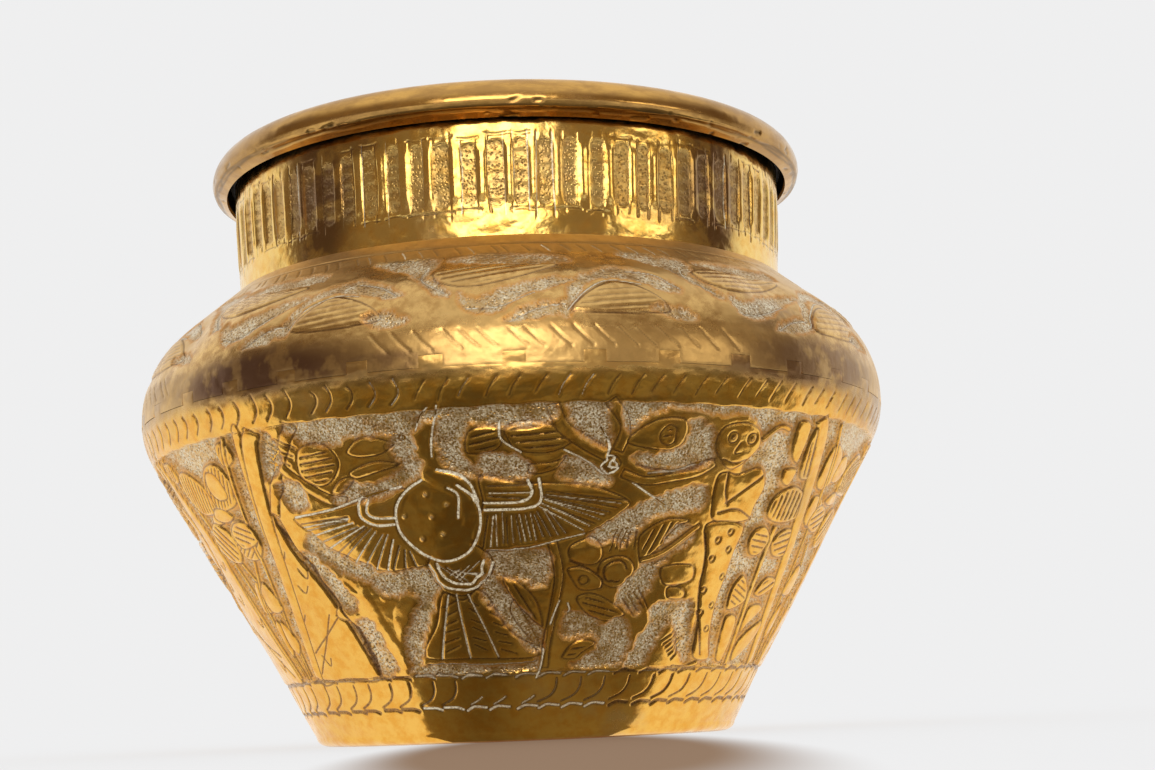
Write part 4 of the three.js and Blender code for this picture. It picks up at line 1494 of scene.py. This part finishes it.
def rim_brass():
    """Worn brass outside, near-black on the hidden side."""
    n = Surface("rim_brass_worn")
    inside = n.attribute("inside")
    cloud = n.noise(18, 4, 0.6, stretch=(1, 1, 3))
    mottle = n.noise(8, 3, 0.6, stretch=(1, 1, 3))
    metal = n.mix(n.ramp(mottle, 0.35, 0.7), RIM_GOLD, RIM_DEEP)
    metal = n.mix(n.ramp(cloud, 0.46, 0.66, 0.0, 0.85), metal, DEEP_TAN)
    metal = n.mix(n.math("MULTIPLY", n.attribute("stain"), 0.75), metal, RIM_BROWN)
    metal = n.mix(n.math("MULTIPLY", n.attribute("cut"), 0.8), metal, CUT_DARK)
    rough = n.ramp(mottle, 0.3, 0.75, 0.16, 0.28)
    wide = n.bump(n.noise(9, 2, 0.5), 0.4, 0.6)
    # The hidden inside of the rim is coloured near black; it is what shows in the gap under the rim.
    n.feed(
        Base_Color=n.mix(inside, metal, RIM_HIDDEN_BLACK),
        Specular_IOR_Level=0.05,
        Metallic=n.math("SUBTRACT", 1.0, n.math("MULTIPLY", inside, 0.9)),
        Roughness=n.blend(inside, rough, 0.8),
        Normal=n.bump(n.noise(4, 2, 0.5), 0.05, 0.4, wide),
    )
    return n.material


def plain_metal(name, colour, second, roughness):
    n = Surface(name)
    mottle = n.noise(2.2, 4, 0.65)
    n.feed(
        Base_Color=n.mix(n.ramp(mottle, 0.35, 0.68), colour, second),
        Metallic=1.0,
        Roughness=n.ramp(mottle, 0.3, 0.7, roughness, roughness + 0.2),
        Normal=n.bump(n.noise(1.1, 3, 0.6), 0.15, 0.8),
    )
    return n.material


# Assembly


def dress(item, node, material):
    item.data.materials.clear()
    item.data.materials.append(material)
    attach(item, "root")
    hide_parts(node)


def build():
    polished = chased_brass(
        "body_brass_chased", GOLD, DEEP_GOLD, clouds=(0.55, 0.8), residue=0.95, bare=0.34, shine=0.14,
        hammer=0.9,
    )
    dull = chased_brass(
        "shoulder_brass_dull", DULL_GOLD, DEEP_TAN, clouds=(0.4, 0.7), residue=0.9, bare=0.4, shine=0.2,
        hammer=0.4,
    )
    fluted = chased_brass(
        "collar_brass_fluted", BRIGHT_GOLD, GOLD, clouds=(0.5, 0.75), residue=0.15, bare=0.5, shine=0.13,
        hammer=0.45, browned=0.34, matt=0.30, punch=0.22,
    )
    dress(lower_body(), "lower_body", polished)
    dress(shoulder(), "shoulder", dull)
    dress(collar(), "neck_collar", fluted)
    dress(rim(), "rim_ring", rim_brass())
    braze = plain_metal("braze_dull", BROWN, BRAZE_PALE, 0.5)
    cad_materials = {
        "base_braze": braze,
        "belly_braze": braze,
        "neck_braze": braze,
        "rim_solder": plain_metal("solder_grey", SOLDER_GREY, SOLDER_DARK, 0.6),
        "base_disc": plain_metal("base_disc_inside", TAN, BROWN, 0.35),
    }
    for node, material in cad_materials.items():
        item = frame["nodes"][node]
        item.data.materials.clear()
        item.data.materials.append(material)


# Studio


CAMERA_PLACE = Vector((-0.13, -575.3, 7.27)) * MM
CAMERA_PITCH = 9.80
CAMERA_YAW = -1.96
CAMERA_ROLL = -2.38
CAMERA_LENS = 58.85
SENSOR = 36
NEAREST_SEEN = 0.02


def camera():
    data = bpy.data.cameras.new("camera")
    data.lens = CAMERA_LENS
    data.sensor_width = SENSOR
    data.clip_start = NEAREST_SEEN
    item = bpy.data.objects.new("camera", data)
    turn = Matrix.Rotation(math.radians(CAMERA_YAW), 4, "Z")
    tilt = Matrix.Rotation(math.radians(90 + CAMERA_PITCH), 4, "X")
    roll = Matrix.Rotation(math.radians(CAMERA_ROLL), 4, "Z")
    item.matrix_world = Matrix.Translation(CAMERA_PLACE) @ turn @ tilt @ roll
    bpy.context.scene.collection.objects.link(item)
    bpy.context.scene.camera = item


FLOOR_HALF = 6000
FLOOR_TONE = (0.15, 0.15, 0.15)
FLOOR_GLOW = (0.713, 0.713, 0.716)
# Painted shadow: SHADE_TONE and SHADE_GLOW colour a soft brown oval in front of the foot, standing in for the
# pot's shadow and reflection; its place, reach and soft edge follow.
SHADE_TONE = (0.13, 0.085, 0.055)
SHADE_GLOW = (0.18, 0.12, 0.08)
SHADE_MIDDLE = (6, -190)
SHADE_REACH = (45, 275)
SHADE_EDGE = 0.42


def floor():
    """A pale floor that looks as bright as the backdrop, with a painted brown shadow and reflection of the
    pot in front of its foot.
    """
    corners = np.array([(-1, -1, 0), (1, -1, 0), (1, 1, 0), (-1, 1, 0)])
    item = mesh_from("floor", corners * FLOOR_HALF * MM, np.array([[0, 1, 2, 3]]))
    n = Surface("floor_pale")
    oval = n.add("ShaderNodeMapping", vector_type="TEXTURE")
    oval.inputs["Location"].default_value = (SHADE_MIDDLE[0] * MM, SHADE_MIDDLE[1] * MM, 0)
    oval.inputs["Scale"].default_value = (SHADE_REACH[0] * MM, SHADE_REACH[1] * MM, 1)
    n.link(n.place, oval.inputs["Vector"])
    fall = n.filled("ShaderNodeTexGradient", {"Vector": oval.outputs["Vector"]}, gradient_type="SPHERICAL")
    # Mask of the painted shadow and reflection oval.
    shade = n.ramp(fall.outputs["Fac"], 0.0, SHADE_EDGE)
    n.feed(
        Base_Color=n.mix(shade, FLOOR_TONE, SHADE_TONE),
        Emission_Color=n.mix(shade, FLOOR_GLOW, SHADE_GLOW),
        Emission_Strength=1,
        Roughness=0.9,
        Specular_IOR_Level=0,
    )
    item.data.materials.append(n.material)


CARD_EDGE = (
    (-700, -150), (-173, -102), (-120, -83), (-62, -76), (-43, -68), (-30, -58), (-14, -56), (23, -56),
    (35, -57), (50, -63), (94, -77), (141, -85), (173, -77), (210, -63), (700, -60),
)
CARD_LIFT = 0.4
CARD_TONE = (0.02, 0.02, 0.02)
# Painted reflections: the dark card glows dim brown as the shaded floor in front of the pot, the pale card
# near white as lit floor beside and behind it.
DARK_CARD_END = -1400
DARK_CARD_DIM = (0.045, 0.033, 0.017)
DARK_CARD_GLOW = (0.190, 0.158, 0.096)
PALE_CARD_END = 1400
PALE_CARD_DIM = (0.88, 0.84, 0.78)
PALE_CARD_GLOW = (0.96, 0.94, 0.91)


def card(name, end, dim, glow):
    """A glowing card laid on the floor, from the shared edge to a far end. It is seen only in the brass, as a
    painted reflection of the floor.
    """
    near = [(x, y, CARD_LIFT) for x, y in CARD_EDGE]
    far = [(x, end, CARD_LIFT) for x, _ in CARD_EDGE]
    count = len(near)
    quads = np.array([(count + i, count + i + 1, i + 1, i) for i in range(count - 1)])
    item = mesh_from(name, np.array(near + far) * MM, quads)
    n = Surface(name)
    glowing = n.mix(n.ramp(n.noise(90, 2, 0.5), 0.35, 0.65), dim, glow)
    n.feed(Base_Color=CARD_TONE, Roughness=1, Emission_Color=glowing, Emission_Strength=1)
    item.data.materials.append(n.material)
    item.visible_camera = False
    item.visible_diffuse = False
    item.visible_shadow = False


LIGHT_TARGET = (0, 0, 0.14)


def area(name, place, size, radiance, colour):
    """A soft light; radiance is how bright its face is beside the white backdrop."""
    data = bpy.data.lights.new(name, "AREA")
    data.shape = "RECTANGLE"
    data.size, data.size_y = size
    data.energy = radiance * math.pi * size[0] * size[1]
    data.color = colour
    item = bpy.data.objects.new(name, data)
    item.location = place
    item.rotation_euler = (Vector(LIGHT_TARGET) - Vector(place)).to_track_quat("-Z", "Y").to_euler()
    item.visible_diffuse = False
    bpy.context.scene.collection.objects.link(item)


BACKDROP = (0.93, 0.925, 0.91)
CEILING = (0.78, 0.76, 0.73)
DARK_ROOM = (0.21, 0.15, 0.095)
SEEN_BACKDROP = (0.863, 0.863, 0.866)
ROOM_LIGHT = (1.0, 1.0, 1.003)


def world():
    """A pale studio. The brass mirrors a white sweep behind it, a dark room in front and a grey ceiling."""
    item = bpy.data.worlds.new("studio")
    item.use_nodes = True
    n = Nodes(item.node_tree)
    direction = n.add("ShaderNodeTexCoord").outputs["Generated"]
    split = n.filled("ShaderNodeSeparateXYZ", {0: direction})
    room = n.mix(n.ramp(split.outputs["Y"], 0.18, 0.28), DARK_ROOM, BACKDROP)
    room = n.mix(n.ramp(split.outputs["Z"], 0.5, 0.85), room, CEILING)
    path = n.add("ShaderNodeLightPath")
    light = n.mix(path.outputs["Is Glossy Ray"], ROOM_LIGHT, room)
    seen = n.mix(path.outputs["Is Camera Ray"], light, SEEN_BACKDROP)
    n.link(seen, n.tree.nodes["Background"].inputs["Color"])
    bpy.context.scene.world = item


def lights():
    area("front_softbox", (-0.08, -1.25, 0.53), size=(0.82, 0.50), radiance=3.4, colour=(1, 0.97, 0.88))
    area("right_softbox", (1.02, -0.72, 0.39), size=(0.52, 0.20), radiance=1.9, colour=(1, 0.95, 0.82))


build()
camera()
floor()
card("painted_shade_reflection_card", DARK_CARD_END, DARK_CARD_DIM, DARK_CARD_GLOW)
card("painted_lit_floor_reflection_card", PALE_CARD_END, PALE_CARD_DIM, PALE_CARD_GLOW)
world()
lights()
bpy.context.scene.view_settings.view_transform = "Standard"
